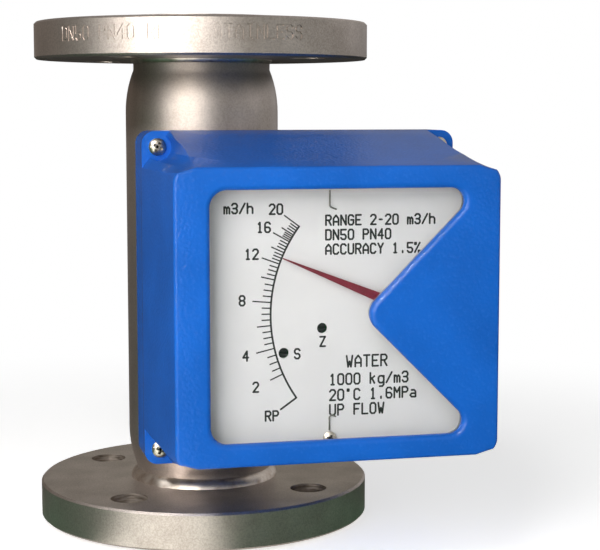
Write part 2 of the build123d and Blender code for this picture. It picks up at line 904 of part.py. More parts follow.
def circuit_board():
    board = Pos(housing_x + dial_shift, housing_z) * Rectangle(board_width, board_height)
    board -= Pos(pivot_x, pivot_z) * Circle(shaft_diameter / 2 + board_shaft_gap)
    for x, z in board_posts():
        board -= Pos(x, z) * Circle(small_screw_diameter / 2)
    return slab(board, board_back, board_front)


def trimmer_body(x, z):
    block = Pos(x, z) * RectangleRounded(trimmer_width, trimmer_width, trimmer_corner)
    bore = Pos(x, z) * Circle(trim_shaft_diameter / 2 + shaft_clearance)
    body = slab(block, board_front, board_front - trimmer_height)
    return body - slab(bore, board_front - trim_floor, board_front - trimmer_height)


def trim_shaft(x, z):
    """A trimmer's shaft, with a screwdriver slot just behind its hole in the dial."""
    nose = dial_back + trim_shaft_gap
    shaft = rod_y(x, z, board_front - trim_floor - trim_floor_gap, nose, trim_shaft_diameter)
    slot = Pos(x, z) * Rectangle(2 * trim_shaft_diameter, trim_slot_width)
    return shaft - slab(slot, nose + trim_slot_depth, nose)


def angle_sensor():
    reach = shaft_diameter / 2 + board_shaft_gap + sensor_edge_gap + sensor_size / 2
    chip = Pos(pivot_x - reach, pivot_z) * Rectangle(sensor_size, sensor_size)
    return slab(chip, board_back + sensor_thickness, board_back)


def terminal_block():
    low = housing_z - plate_height / 2 + terminal_edge_gap
    face = plate_front - terminal_depth
    block = Pos(pivot_x, low + terminal_height / 2) * Rectangle(terminal_width, terminal_height)
    body = slab(block, plate_front, face)
    pitch = terminal_width / terminal_ways
    for i in range(terminal_ways):
        x = pivot_x + (i - (terminal_ways - 1) / 2) * pitch
        well_z = low + terminal_height / 2 + terminal_well_rise
        body -= rod_y(x, well_z, face + terminal_well_depth, face, terminal_well_diameter)
        entry = Box(terminal_well_diameter, terminal_entry_height, terminal_height)
        body -= Pos(x, plate_front - terminal_entry_height, low) * entry
    return body


# Fasteners

def pan_screw(x, z, seat, reach, diameter):
    """A pan-head screw whose head stands in front of its seat."""
    radius = diameter * head_ratio / 2
    height = diameter * head_height_ratio
    rim = 0.35 * height
    flat = 0.4 * radius
    crown = ThreePointArc((radius, rim), (0.84 * radius, 0.82 * height), (flat, height))
    section = make_face([
        Line((0, -reach), (diameter / 2, -reach)), Line((diameter / 2, -reach), (diameter / 2, 0)),
        Line((diameter / 2, 0), (radius, 0)), Line((radius, 0), (radius, rim)), crown,
        Line((flat, height), (0, height)), Line((0, height), (0, -reach)),
    ])
    screw = revolve(Plane.XZ * section, Axis.Z)
    return Pos(x, seat, z) * Rot(90, 0, 0) * screw


def back_screw(x, z, seat, reach, diameter):
    """The same screw the other way round, its head behind the seat."""
    screw = pan_screw(0, 0, 0, reach, diameter)
    return Pos(x, seat, z) * Rot(0, 0, 180) * screw


# Cable entry and earth screw on the right side of the base

def gland_middle():
    return (base_back + base_rim) / 2


def side_rod(z, low, high, diameter):
    return Pos(low, gland_middle(), z) * Rot(0, 90, 0) * extrude(Circle(diameter / 2), high - low)


def gland_rod(low, high, diameter):
    return side_rod(gland_z, low, high, diameter)


def earth_rod(low, high, diameter):
    return side_rod(earth_z, low, high, diameter)


def hex_along_x(low, high, width, z):
    outline = Rot(0, 0, 30) * RegularPolygon(width / 2, 6, major_radius=False)
    return Pos(low, gland_middle(), z) * Rot(0, 90, 0) * extrude(outline, high - low)


def gland_start():
    return housing_right - base_wall - gland_boss_depth


def gland_body():
    hex_end = housing_right + gland_hex_height
    end = hex_end + gland_sleeve_length
    body = hex_along_x(housing_right, hex_end, gland_hex_width, gland_z)
    body += gland_rod(gland_start(), housing_right, gland_thread_diameter)
    body += gland_rod(housing_right, end, gland_sleeve_diameter)
    return body - gland_rod(gland_start(), end, gland_bore_diameter)


def gland_nut():
    start = housing_right + gland_hex_height
    end = start + gland_nut_height
    dome_start = end - gland_dome_height
    wide = Circle(gland_hex_width / 2 - gland_dome_edge)
    narrow = Circle(gland_bore_diameter / 2 + gland_dome_edge)
    dome = loft([
        Plane(origin=(dome_start, gland_middle(), gland_z), z_dir=(1, 0, 0)) * wide,
        Plane(origin=(end, gland_middle(), gland_z), z_dir=(1, 0, 0)) * narrow,
    ])
    body = hex_along_x(start, dome_start, gland_hex_width, gland_z) + dome
    body -= gland_rod(start, start + gland_sleeve_length, gland_sleeve_diameter)
    return body - gland_rod(start, end, gland_bore_diameter)


def gland_seal():
    nut_start = housing_right + gland_hex_height
    start = nut_start - gland_seal_tail
    end = nut_start + gland_nut_height - gland_seal_recess
    return gland_rod(start, end, gland_bore_diameter) - gland_rod(start, end, gland_pin_diameter)


def gland_blank():
    """The solid pin that closes an unused cable gland."""
    nut_start = housing_right + gland_hex_height
    return gland_rod(nut_start - gland_pin_tail, nut_start + gland_nut_height, gland_pin_diameter)


def earth_screw():
    seat = housing_right + earth_washer_thickness
    screw = pan_screw(0, 0, 0, base_wall + earth_washer_thickness, cover_screw_diameter)
    return Pos(seat, gland_middle(), earth_z) * Rot(0, 0, 90) * screw


def earth_washer():
    end = housing_right + earth_washer_thickness
    washer = earth_rod(housing_right, end, earth_washer_diameter)
    return washer - earth_rod(housing_right, end, cover_screw_diameter)


# All sub-parts, each in its own file

def sub_parts():
    float_top = float_above_magnet + float_cap_height
    lower_stop_top = magnet_lowest - float_below_magnet - stop_clearance
    upper_stop_low = magnet_highest + float_top + stop_clearance
    bush_low = magnet_rest - float_below_magnet
    bush_high = magnet_rest + float_top
    bush_seat = magnet_rest + float_above_magnet - float_cap_spigot
    zero, span = trims()
    lower_dial_screw, upper_dial_screw = dial_screws()
    return {
        "lower_flange": flange(),
        "upper_flange": mirrored_top(flange()),
        "measuring_tube": measuring_tube(),
        "lower_weld": weld_bead(lower_weld_width, lower_weld_height),
        "upper_weld": mirrored_top(weld_bead(upper_weld_width, upper_weld_height)),
        "metering_cone": metering_cone(),
        "lower_guide": guide(),
        "upper_guide": mirrored_top(guide()),
        "guide_clips": [guide_clip(), mirrored_top(guide_clip())],
        "guide_rod": guide_rod(),
        "lower_stop": stop_sleeve(hub_end, lower_stop_top),
        "upper_stop": stop_sleeve(upper_stop_low, face_to_face - hub_end),
        "float_body": float_body(),
        "float_magnet": float_magnet(),
        "float_cap": float_cap(),
        "float_lower_bush": float_bush(bush_low, bush_low + bush_length),
        "float_upper_bush": float_bush(bush_seat, bush_high),
        "saddle_bracket": saddle_bracket(),
        "housing_base": housing_base(),
        "bracket_screws": [
            pan_screw(x, z, base_floor, base_wall + bracket_screw_reach, bracket_screw_diameter)
            for x, z in bracket_screws()],
        "base_gasket": base_gasket(),
        "cover": cover(),
        "cover_screws": [
            pan_screw(x, z, pad_face, cover_screw_reach(), cover_screw_diameter)
            for x, z in cover_screws()],
        "window_seal": window_seal(),
        "window_glass": window_glass(),
        "glass_retainer": glass_retainer(),
        "retainer_screws": [
            back_screw(x, z, retainer_back, retainer_back - seal_back, small_screw_diameter)
            for x, z in retainer_screws()],
        "dial_plate": dial_plate(),
        "dial_posts": [hex_post(x, z, plate_front, dial_back) for x, z in dial_screws()],
        "dial_screws": [
            pan_screw(x, z, dial_face - hook_wire, hook_wire + dial_thickness, small_screw_diameter)
            for x, z in dial_screws()],
        "upper_wire_hook": wire_hook(*upper_dial_screw, 1),
        "lower_wire_hook": wire_hook(*lower_dial_screw, -1),
        "movement_plate": movement_plate(),
        "plate_screws": [
            pan_screw(x, z, plate_front, plate_thickness + screw_reach, cover_screw_diameter)
            for x, z in plate_screws()],
        "rear_bearing": bearing(base_floor, base_floor - bearing_boss_height, False),
        "front_bearing": bearing(plate_back, plate_front, True),
        "follower_shaft": follower_shaft(),
        "follower_arm": follower_arm(),
        "follower_magnet": follower_magnet(),
        "counterweight": counterweight(),
        "arm_hub": arm_hub(),
        "brake_disc": brake_disc(),
        "sensor_magnet": sensor_magnet(),
        "pointer": pointer(),
        "pointer_hub": pointer_hub(),
        "brake_yoke": brake_yoke(),
        "brake_magnets": brake_magnets(),
        "board_posts": [hex_post(x, z, plate_front, board_back) for x, z in board_posts()],
        "circuit_board": circuit_board(),
        "board_screws": [
            pan_screw(x, z, board_front, board_thickness, small_screw_diameter) for x, z in board_posts()],
        "angle_sensor": angle_sensor(),
        "trimmers": [trimmer_body(*zero), trimmer_body(*span)],
        "zero_trim_shaft": trim_shaft(*zero),
        "span_trim_shaft": trim_shaft(*span),
        "terminal_block": terminal_block(),
        "gland_body": gland_body(),
        "gland_nut": gland_nut(),
        "gland_seal": gland_seal(),
        "gland_blank": gland_blank(),
        "earth_screw": [earth_screw(), earth_washer()],
    }


def save(name, shape):
    solids = shape if isinstance(shape, list) else [shape]
    solids = [solid for piece in solids for solid in piece.solids()]
    whole = solids[0] if len(solids) == 1 else Compound(children=solids)
    export_step(whole, f"parts/{name}.step")


os.makedirs("parts", exist_ok=True)
for name, shape in sub_parts().items():
    save(name, shape)
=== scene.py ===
import json
import math
import bmesh
import bpy
from mathutils import Matrix, Vector


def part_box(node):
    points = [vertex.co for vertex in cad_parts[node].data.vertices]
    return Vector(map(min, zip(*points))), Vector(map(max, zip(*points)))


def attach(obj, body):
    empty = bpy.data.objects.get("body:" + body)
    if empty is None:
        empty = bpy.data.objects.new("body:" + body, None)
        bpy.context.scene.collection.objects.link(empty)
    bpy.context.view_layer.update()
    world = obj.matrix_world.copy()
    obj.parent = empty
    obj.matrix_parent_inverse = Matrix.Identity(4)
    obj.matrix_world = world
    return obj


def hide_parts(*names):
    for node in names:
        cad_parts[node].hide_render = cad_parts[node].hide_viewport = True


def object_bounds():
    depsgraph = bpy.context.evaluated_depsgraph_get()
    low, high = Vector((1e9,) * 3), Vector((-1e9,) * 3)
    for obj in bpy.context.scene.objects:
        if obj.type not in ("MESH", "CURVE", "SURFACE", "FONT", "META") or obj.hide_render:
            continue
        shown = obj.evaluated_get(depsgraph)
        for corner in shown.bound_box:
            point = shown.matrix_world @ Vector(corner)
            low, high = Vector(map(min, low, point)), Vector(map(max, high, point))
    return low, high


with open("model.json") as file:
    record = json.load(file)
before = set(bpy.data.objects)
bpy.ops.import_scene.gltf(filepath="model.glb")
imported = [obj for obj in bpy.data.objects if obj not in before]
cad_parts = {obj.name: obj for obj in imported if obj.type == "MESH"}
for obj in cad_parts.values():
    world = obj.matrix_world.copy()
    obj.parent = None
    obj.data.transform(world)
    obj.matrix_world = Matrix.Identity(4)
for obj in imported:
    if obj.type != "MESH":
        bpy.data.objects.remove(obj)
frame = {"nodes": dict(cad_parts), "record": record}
cadLow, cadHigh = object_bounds()
nodes = frame["nodes"]
record = frame["record"]
mm = 0.001
mergeDistance = 0.002 * mm
bodyOf = {node: body for body, group in record["behaviour"]["bodies"].items() for node in group}
slotOf = {part["node"]: part["material_slot"] for part in record["subparts"]}
print("frame loaded:", len(nodes), "nodes")


# Small helpers

def colour(hexText, alpha=1.0):
    channels = [int(hexText[i:i + 2], 16) / 255 for i in (1, 3, 5)]
    linear = [c / 12.92 if c <= 0.04045 else ((c + 0.055) / 1.055) ** 2.4 for c in channels]
    return (*linear, alpha)


def addNode(tree, kind, values=None):
    # Nodes and sockets among the values are linked, stops fill a colour ramp, the rest are settings
    node = tree.nodes.new(kind if "Node" in kind else "ShaderNode" + kind)
    for key, value in (values or {}).items():
        parts = value if isinstance(value, list) else [value]
        sources = [part.outputs[0] if isinstance(part, bpy.types.Node) else part for part in parts]
        if isinstance(sources[0], bpy.types.NodeSocket):
            for source in sources:
                tree.links.new(source, node.inputs[key])
        elif key == "stops":
            elements = node.color_ramp.elements
            while len(elements) < len(value):
                elements.new(0.5)
            for element, (position, tone) in zip(elements, value):
                element.position = position
                element.color = colour(tone) if isinstance(tone, str) else (tone, tone, tone, 1)
        elif isinstance(key, int) or key in node.inputs:
            node.inputs[key].default_value = value
        else:
            setattr(node, key, value)
    return node


def newMaterial(name):
    material = bpy.data.materials.new(name)
    material.use_nodes = True
    material.node_tree.nodes.clear()
    return material, material.node_tree


even = (1.0, 1.0, 1.0)


def objectPlace(tree, stretch=even):
    # Object coordinates in millimetres, so that texture scales read as marks per millimetre
    place = addNode(tree, "TexCoord").outputs["Object"]
    return addNode(tree, "Mapping", {"Scale": tuple(1000 * s for s in stretch), "Vector": place})


def surface(tree, values):
    addNode(tree, "OutputMaterial", {"Surface": addNode(tree, "BsdfPrincipled", values)})


# Materials of the parts that show most, each with its own nodes

# Real blasting grit is finer than the render can show, so it is drawn at a little under a millimetre
steelLook = {"bright": "#C2B8B1", "dull": "#AAA098", "stain": "#85766B", "gritPerMm": 1.15,
             "gritDepth": 0.12, "cloudPerMm": 0.05, "stainPerMm": 0.03, "ringsPerMm": 0.42,
             "ringDepth": 0.005, "hoopDepth": 0.008}


def blastedStainless():
    # Stainless plate, turned and then bead blasted: a soft warm sheen broken by fine grit
    material, tree = newMaterial("blastedStainless")
    place = objectPlace(tree)
    grit = addNode(tree, "TexNoise", {
        "Scale": steelLook["gritPerMm"], "Detail": 3.0, "Roughness": 0.65, "Vector": place})
    cloud = addNode(tree, "TexNoise", {
        "Scale": steelLook["cloudPerMm"], "Detail": 3.0, "Roughness": 0.5, "Vector": place})
    stain = addNode(tree, "TexNoise", {
        "Scale": steelLook["stainPerMm"], "Detail": 5.0, "Roughness": 0.7, "Vector": place})
    rings = addNode(tree, "TexWave", {
        "wave_type": "RINGS", "rings_direction": "Z", "wave_profile": "SIN", "Scale": steelLook["ringsPerMm"],
        "Distortion": 0.4, "Detail": 2.0, "Detail Scale": 0.4, "Vector": place}).outputs["Fac"]
    tone = addNode(tree, "ValToRGB", {
        "Fac": cloud, "stops": [(0.3, steelLook["dull"]), (0.7, steelLook["bright"])]})
    stained = addNode(tree, "ValToRGB", {"Fac": stain, "stops": [(0.56, 0.0), (0.78, 0.35)]})
    tone = addNode(tree, "MixRGB", {"Fac": stained, "Color1": tone, "Color2": colour(steelLook["stain"])})
    pits = addNode(tree, "ValToRGB", {"Fac": grit, "stops": [(0.36, 0.76), (0.62, 1.0)]})
    tone = addNode(tree, "MixRGB", {"blend_type": "MULTIPLY", "Fac": 1.0, "Color1": tone, "Color2": pits})
    wear = addNode(tree, "MixRGB", {"Fac": 0.5, "Color1": cloud, "Color2": grit})
    gloss = addNode(tree, "ValToRGB", {"Fac": wear, "stops": [(0.3, 0.48), (0.7, 0.40)]})
    turned = addNode(tree, "Bump", {"Strength": 0.4, "Distance": steelLook["ringDepth"] * mm, "Height": rings})
    relief = addNode(tree, "Bump", {
        "Strength": 0.8, "Distance": steelLook["gritDepth"] * mm, "Height": grit, "Normal": turned})
    surface(tree, {"Metallic": 1.0, "Base Color": tone, "Roughness": gloss, "Normal": relief})
    return material


def satinTube():
    # Stainless tube, blasted after forming: one long soft highlight, with faint hoops from the rolls
    material, tree = newMaterial("satinTube")
    hoops = addNode(tree, "TexNoise", {
        "Scale": 0.8, "Detail": 3.0, "Roughness": 0.6, "Vector": objectPlace(tree, (0.05, 0.05, 1.0))})
    grit = addNode(tree, "TexNoise", {
        "Scale": steelLook["gritPerMm"], "Detail": 3.0, "Roughness": 0.6, "Vector": objectPlace(tree)})
    cloud = addNode(tree, "TexNoise", {
        "Scale": steelLook["cloudPerMm"], "Detail": 4.0, "Roughness": 0.6,
        "Vector": objectPlace(tree, (1.0, 1.0, 0.45))})
    tone = addNode(tree, "ValToRGB", {
        "Fac": cloud, "stops": [(0.3, steelLook["dull"]), (0.7, steelLook["bright"])]})
    pits = addNode(tree, "ValToRGB", {"Fac": grit, "stops": [(0.36, 0.84), (0.62, 1.0)]})
    tone = addNode(tree, "MixRGB", {"blend_type": "MULTIPLY", "Fac": 1.0, "Color1": tone, "Color2": pits})
    wear = addNode(tree, "MixRGB", {"Fac": 0.5, "Color1": cloud, "Color2": hoops})
    gloss = addNode(tree, "ValToRGB", {"Fac": wear, "stops": [(0.3, 0.47), (0.7, 0.41)]})
    rolled = addNode(tree, "Bump", {"Strength": 0.4, "Distance": steelLook["hoopDepth"] * mm, "Height": hoops})
    relief = addNode(tree, "Bump", {
        "Strength": 0.7, "Distance": 0.6 * steelLook["gritDepth"] * mm, "Height": grit, "Normal": rolled})
    surface(tree, {"Metallic": 1.0, "Base Color": tone, "Roughness": gloss, "Normal": relief})
    return material


weldLook = {"radius": 5.75, "pitch": 1.7, "depth": 0.12, "spatterPerMm": 1.6, "spatterDepth": 0.03}


def weldMetal():
    # Brushed fillet weld: brighter than the plate beside it, with straw and brown heat tint
    material, tree = newMaterial("weldMetal")
    place = objectPlace(tree)
    cloud = addNode(tree, "TexNoise", {"Scale": 0.16, "Detail": 3.0, "Roughness": 0.6, "Vector": place})
    tone = addNode(tree, "ValToRGB", {
        "Fac": cloud, "stops": [(0.3, "#A5968A"), (0.55, "#C9C0B6"), (0.8, "#B79F86")]})
    parts = addNode(tree, "SeparateXYZ", {"Vector": place}).outputs
    turn = addNode(tree, "Math", {"operation": "ARCTAN2", 0: parts["X"], 1: parts["Y"]})
    ripples = 2 * math.pi * weldLook["radius"] / weldLook["pitch"]
    wave = addNode(tree, "Math", {"operation": "MULTIPLY", 0: turn, 1: ripples})
    ripple = addNode(tree, "Math", {"operation": "SINE", 0: wave})
    laid = addNode(tree, "Bump", {"Strength": 0.7, "Distance": weldLook["depth"] * mm, "Height": ripple})
    spatter = addNode(tree, "TexNoise", {
        "Scale": weldLook["spatterPerMm"], "Detail": 2.0, "Roughness": 0.55, "Vector": place})
    relief = addNode(tree, "Bump", {
        "Strength": 0.6, "Distance": weldLook["spatterDepth"] * mm, "Height": spatter, "Normal": laid})
    surface(tree, {"Metallic": 1.0, "Roughness": 0.38, "Base Color": tone, "Normal": relief})
    return material


enamelLook = {"deep": "#0759B6", "full": "#0B62C6", "speck": "#2871D0", "driftPerMm": 0.03, "peelPerMm": 0.75,
              "peelDepth": 0.08, "coatDepth": 0.42}


def stovedEnamel():
    # Blue powder enamel, stoved on die-cast aluminium: wet gloss over orange peel, which sparkles on the edges
    material, tree = newMaterial("stovedEnamel")
    place = objectPlace(tree)
    peel = addNode(tree, "TexNoise", {
        "Scale": enamelLook["peelPerMm"], "Detail": 0.6, "Roughness": 0.5, "Vector": place})
    drift = addNode(tree, "TexNoise", {
        "Scale": enamelLook["driftPerMm"], "Detail": 3.0, "Roughness": 0.5, "Vector": place})
    tone = addNode(tree, "ValToRGB", {
        "Fac": drift, "stops": [(0.3, enamelLook["deep"]), (0.7, enamelLook["full"])]})
    specks = addNode(tree, "ValToRGB", {"Fac": peel, "stops": [(0.60, 0.0), (0.78, 0.25)]})
    tone = addNode(tree, "MixRGB", {"Fac": specks, "Color1": tone, "Color2": colour(enamelLook["speck"])})
    under = addNode(tree, "Bump", {"Strength": 0.8, "Distance": enamelLook["peelDepth"] * mm, "Height": peel})
    over = addNode(tree, "Bump", {"Strength": 0.9, "Distance": enamelLook["coatDepth"] * mm, "Height": peel})
    surface(tree, {
        "Roughness": 0.55, "IOR": 1.22, "Coat Weight": 0.4, "Coat Roughness": 0.07, "Coat IOR": 1.5,
        "Base Color": tone, "Normal": under, "Coat Normal": over})
    return material


def floatGlass():
    # Clear float glass: sharp weak reflections, and light passes freely to the dial behind it
    material, tree = newMaterial("floatGlass")
    film = addNode(tree, "TexNoise", {
        "Scale": 0.04, "Detail": 4.0, "Roughness": 0.6, "Vector": objectPlace(tree)})
    smear = addNode(tree, "ValToRGB", {"Fac": film, "stops": [(0.45, 0.0), (0.8, 0.035)]})
    pane = addNode(tree, "BsdfPrincipled", {
        "Base Color": colour("#FDFDFD"), "IOR": 1.45, "Transmission Weight": 1.0, "Roughness": smear})
    clear = addNode(tree, "BsdfTransparent", {"Color": colour("#FAFAFA")})
    path = addNode(tree, "LightPath").outputs
    soft = addNode(tree, "Math", {"operation": "MAXIMUM", 0: path["Is Shadow Ray"], 1: path["Is Diffuse Ray"]})
    mixed = addNode(tree, "MixShader", {"Fac": soft, 1: pane, 2: clear})
    addNode(tree, "OutputMaterial", {"Surface": mixed})
    return material


def platedSteel():
    # Nickel plated screws: bright and slightly warm, scuffed by the driver, with painted shade darkening the
    # recess
    material, tree = newMaterial("platedSteel")
    scuffs = addNode(tree, "TexNoise", {
        "Scale": 1.4, "Detail": 4.0, "Roughness": 0.7, "Vector": objectPlace(tree)})
    tone = addNode(tree, "ValToRGB", {"Fac": scuffs, "stops": [(0.35, "#A89F90"), (0.65, "#D8D1C2")]})
    shelter = addNode(tree, "AmbientOcclusion", {"Distance": 1.8 * mm, "samples": 12}).outputs["AO"]
    # Painted shade: where ambient occlusion finds the cross recess and other tight corners, the colour is pulled
    # towards near black
    paintedRecessShade = addNode(tree, "ValToRGB", {"Fac": shelter, "stops": [(0.25, 0.92), (0.62, 0.0)]})
    tone = addNode(tree, "MixRGB", {"Fac": paintedRecessShade, "Color1": tone, "Color2": colour("#1C1914")})
    gloss = addNode(tree, "ValToRGB", {"Fac": scuffs, "stops": [(0.3, 0.36), (0.7, 0.24)]})
    relief = addNode(tree, "Bump", {"Strength": 0.4, "Distance": 0.02 * mm, "Height": scuffs})
    surface(tree, {"Metallic": 1.0, "Base Color": tone, "Roughness": gloss, "Normal": relief})
    return material


def zincSheet():
    # Zinc plated sheet: grey with a slight blue spangle
    material, tree = newMaterial("zincSheet")
    spangle = addNode(tree, "TexVoronoi", {"Scale": 0.25, "Vector": objectPlace(tree)}).outputs["Distance"]
    tone = addNode(tree, "ValToRGB", {"Fac": spangle, "stops": [(0.1, "#A6A9AB"), (0.8, "#BFC2C3")]})
    gloss = addNode(tree, "ValToRGB", {"Fac": spangle, "stops": [(0.1, 0.34), (0.8, 0.46)]})
    surface(tree, {"Metallic": 1.0, "Base Color": tone, "Roughness": gloss})
    return material


def coatedLaminate():
    # Glass-fibre circuit board under green solder resist: the weave shows faintly through it
    material, tree = newMaterial("coatedLaminate")
    weave = addNode(tree, "TexWave", {
        "Scale": 0.5, "Distortion": 1.0, "Vector": objectPlace(tree)}).outputs["Fac"]
    tone = addNode(tree, "ValToRGB", {"Fac": weave, "stops": [(0.2, "#0F5A2C"), (0.8, "#146A36")]})
    relief = addNode(tree, "Bump", {"Strength": 0.4, "Distance": 0.01 * mm, "Height": weave})
    surface(tree, {"Roughness": 0.3, "IOR": 1.5, "Base Color": tone, "Normal": relief})
    return material


# Materials that share one recipe. A grain is its marks per mm, detail, roughness and stretch: the first one
# colours the surface and the last one raises it. Relief is a depth in mm and a strength, gloss is roughness
# by grain. Grain too fine for the render is drawn as coarse as it needs to show

plainLooks = {
    # Bolt holes left as drilled: dull and torn, with fine rings from the drill's feed
    "drilledBore": {
        "grains": [(1.2, 3.0, 0.55, (0.1, 0.1, 1.0))], "tones": [(0.35, "#7E746A"), (0.65, "#C4BAB0")],
        "relief": (0.05, 0.7), "shader": {"Metallic": 0.82, "Roughness": 0.35}},
    # Sheet metal with a matt white screen coat: nearly even white with a faint mottle
    "coatedDial": {
        "grains": [(0.06, 4.0, 0.6, even), (3.0, 2.0, 0.55, even)],
        "tones": [(0.3, "#E1E2E3"), (0.7, "#E8E9EA")], "relief": (0.008, 0.4),
        "shader": {"Roughness": 0.5, "IOR": 1.5}},
    # Screen printed ink: near black, a little thinner in places
    "screenInk": {
        "grains": [(0.9, 3.0, 0.6, even)], "tones": [(0.3, "#08090B"), (0.75, "#17191C")],
        "shader": {"Roughness": 0.55, "IOR": 1.5}},
    # Aluminium pointer dipped in crimson lacquer: deep red with a soft shine
    "crimsonLacquer": {
        "grains": [(0.12, 3.0, 0.55, even), (1.2, 2.0, 0.55, even)],
        "tones": [(0.3, "#6A1028"), (0.7, "#821A33")], "relief": (0.01, 0.4),
        "shader": {"Roughness": 0.4, "IOR": 1.5, "Coat Weight": 0.3, "Coat Roughness": 0.2}},
    # Hard drawn spring steel: dark grey, with draw lines along it
    "drawnWire": {
        "grains": [(2.5, 3.0, 0.55, (1.0, 1.0, 0.1))], "tones": [(0.3, "#5E5C58"), (0.7, "#8A8781")],
        "relief": (0.01, 0.5), "shader": {"Metallic": 1.0, "Roughness": 0.35}},
    # Black moulded rubber: matt, with a faint bloom
    "mouldedRubber": {
        "grains": [(0.2, 4.0, 0.55, even), (2.0, 2.0, 0.55, even)],
        "tones": [(0.3, "#161616"), (0.8, "#262524")], "relief": (0.02, 0.5),
        "shader": {"Roughness": 0.75, "IOR": 1.52}},
    # Aluminium sheet as rolled: pale, with fine straight rolling lines
    "rolledAluminium": {
        "grains": [(2.0, 4.0, 0.6, (0.04, 1.0, 1.0))], "tones": [(0.3, "#B9BBBC"), (0.7, "#D0D1D2")],
        "relief": (0.006, 0.4), "shader": {"Metallic": 1.0, "Roughness": 0.36}},
    # Free-cutting brass straight from the lathe: yellow, with turning lines
    "turnedBrass": {
        "grains": [(0.3, 3.0, 0.55, even), (3.0, 2.0, 0.55, (0.1, 1.0, 0.1))],
        "tones": [(0.3, "#B48C3C"), (0.7, "#CDA655")], "relief": (0.008, 0.5),
        "shader": {"Metallic": 1.0, "Roughness": 0.3}},
    # Cast magnet alloy with ground faces: dark grey and grainy
    "groundMagnet": {
        "grains": [(1.2, 4.0, 0.7, even)], "tones": [(0.3, "#54545A"), (0.7, "#74747A")],
        "relief": (0.02, 0.5), "shader": {"Metallic": 1.0, "Roughness": 0.45}},
    # White fluoropolymer bushes: waxy white with turning lines
    "turnedFluoropolymer": {
        "grains": [(2.5, 2.0, 0.55, (0.1, 0.1, 1.0))], "tones": [(0.3, "#E4E3DC"), (0.7, "#F0EFEA")],
        "relief": (0.01, 0.4),
        "shader": {"Roughness": 0.45, "IOR": 1.38, "Subsurface Weight": 0.1, "Subsurface Scale": 0.002}},
    # Black moulded plastic: satin, with a fine spark-eroded grain
    "mouldedBlack": {
        "grains": [(0.5, 3.0, 0.55, even), (2.5, 2.0, 0.55, even)],
        "tones": [(0.3, "#141416"), (0.7, "#1F1F22")], "relief": (0.015, 0.5),
        "shader": {"Roughness": 0.45, "IOR": 1.5}},
    # Nickel plated brass gland: smooth, silvery and a little yellow
    "nickelBrass": {
        "grains": [(0.4, 4.0, 0.6, even)], "tones": [(0.3, "#BDB6A6"), (0.7, "#D8D2C4")],
        "gloss": [(0.3, 0.26), (0.7, 0.18)], "shader": {"Metallic": 1.0}},
}


def plainFinish(name):
    look = plainLooks[name]
    material, tree = newMaterial(name)
    grains = [addNode(tree, "TexNoise", {
        "Scale": perMm, "Detail": detail, "Roughness": rough, "Vector": objectPlace(tree, stretch)})
        for perMm, detail, rough, stretch in look["grains"]]
    values = dict(look["shader"])
    values["Base Color"] = addNode(tree, "ValToRGB", {"Fac": grains[0], "stops": look["tones"]})
    if "gloss" in look:
        values["Roughness"] = addNode(tree, "ValToRGB", {"Fac": grains[0], "stops": look["gloss"]})
    if "relief" in look:
        depth, strength = look["relief"]
        values["Normal"] = addNode(tree, "Bump", {
            "Strength": strength, "Distance": depth * mm, "Height": grains[-1]})
    surface(tree, values)
    return material


finish = {
    "stainless": blastedStainless(), "weld_steel": weldMetal(), "spring_steel": plainFinish("drawnWire"),
    "blue_enamel": stovedEnamel(), "bright_steel": platedSteel(), "seal_rubber": plainFinish("mouldedRubber"),
    "window_glass": floatGlass(), "zinc_sheet": zincSheet(), "dial_white": plainFinish("coatedDial"),
    "pointer_red": plainFinish("crimsonLacquer"), "aluminium": plainFinish("rolledAluminium"),
    "brass": plainFinish("turnedBrass"), "magnet": plainFinish("groundMagnet"),
    "slide_plastic": plainFinish("turnedFluoropolymer"), "board_green": coatedLaminate(),
    "black_plastic": plainFinish("mouldedBlack"), "nickel_brass": plainFinish("nickelBrass"),
    "tube": satinTube(), "ink": plainFinish("screenInk"), "bore": plainFinish("drilledBore"),
}
for name, node in nodes.items():
    node.data.materials.clear()
    node.data.materials.append(finish[slotOf[name]])
print("materials made:", len(finish))


# Pieces that keep their CAD form, merged and shaded smooth between real edges

def mergedCopy(nodeName):
    data = bmesh.new()
    data.from_mesh(nodes[nodeName].data)
    bmesh.ops.remove_doubles(data, verts=data.verts, dist=mergeDistance)
    return data


def mergedMesh(name, nodeName):
    data = mergedCopy(nodeName)
    places = [v.co.copy() for v in data.verts]
    data.verts.index_update()
    faces = [[v.index for v in f.verts] for f in data.faces]
    data.free()
    mesh = bpy.data.meshes.new(name)
    mesh.from_pydata(places, [], faces)
    mesh.validate()
    return mesh


def smoothed(mesh, angle=32.0):
    data = bmesh.new()
    data.from_mesh(mesh)
    for face in data.faces:
        face.smooth = True
    for edge in data.edges:
        edge.smooth = len(edge.link_faces) == 2 and edge.calc_face_angle(0.0) < math.radians(angle)
    data.to_mesh(mesh)
    data.free()
    return mesh


def placed(name, mesh, material):
    piece = bpy.data.objects.new(name, mesh)
    bpy.context.scene.collection.objects.link(piece)
    mesh.materials.clear()
    mesh.materials.append(material)
    return piece


def belongs(piece, *nodeNames):
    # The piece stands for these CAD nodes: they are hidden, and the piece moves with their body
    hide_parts(*nodeNames)
    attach(piece, bodyOf[nodeNames[0]])


def camelCase(nodeName):
    first, *rest = nodeName.split("_")
    return first + "".join(word.capitalize() for word in rest)


def polished(nodeName, material=None):
    mesh = mergedMesh(camelCase(nodeName), nodeName)
    belongs(placed(camelCase(nodeName), smoothed(mesh), material or finish[slotOf[nodeName]]), nodeName)


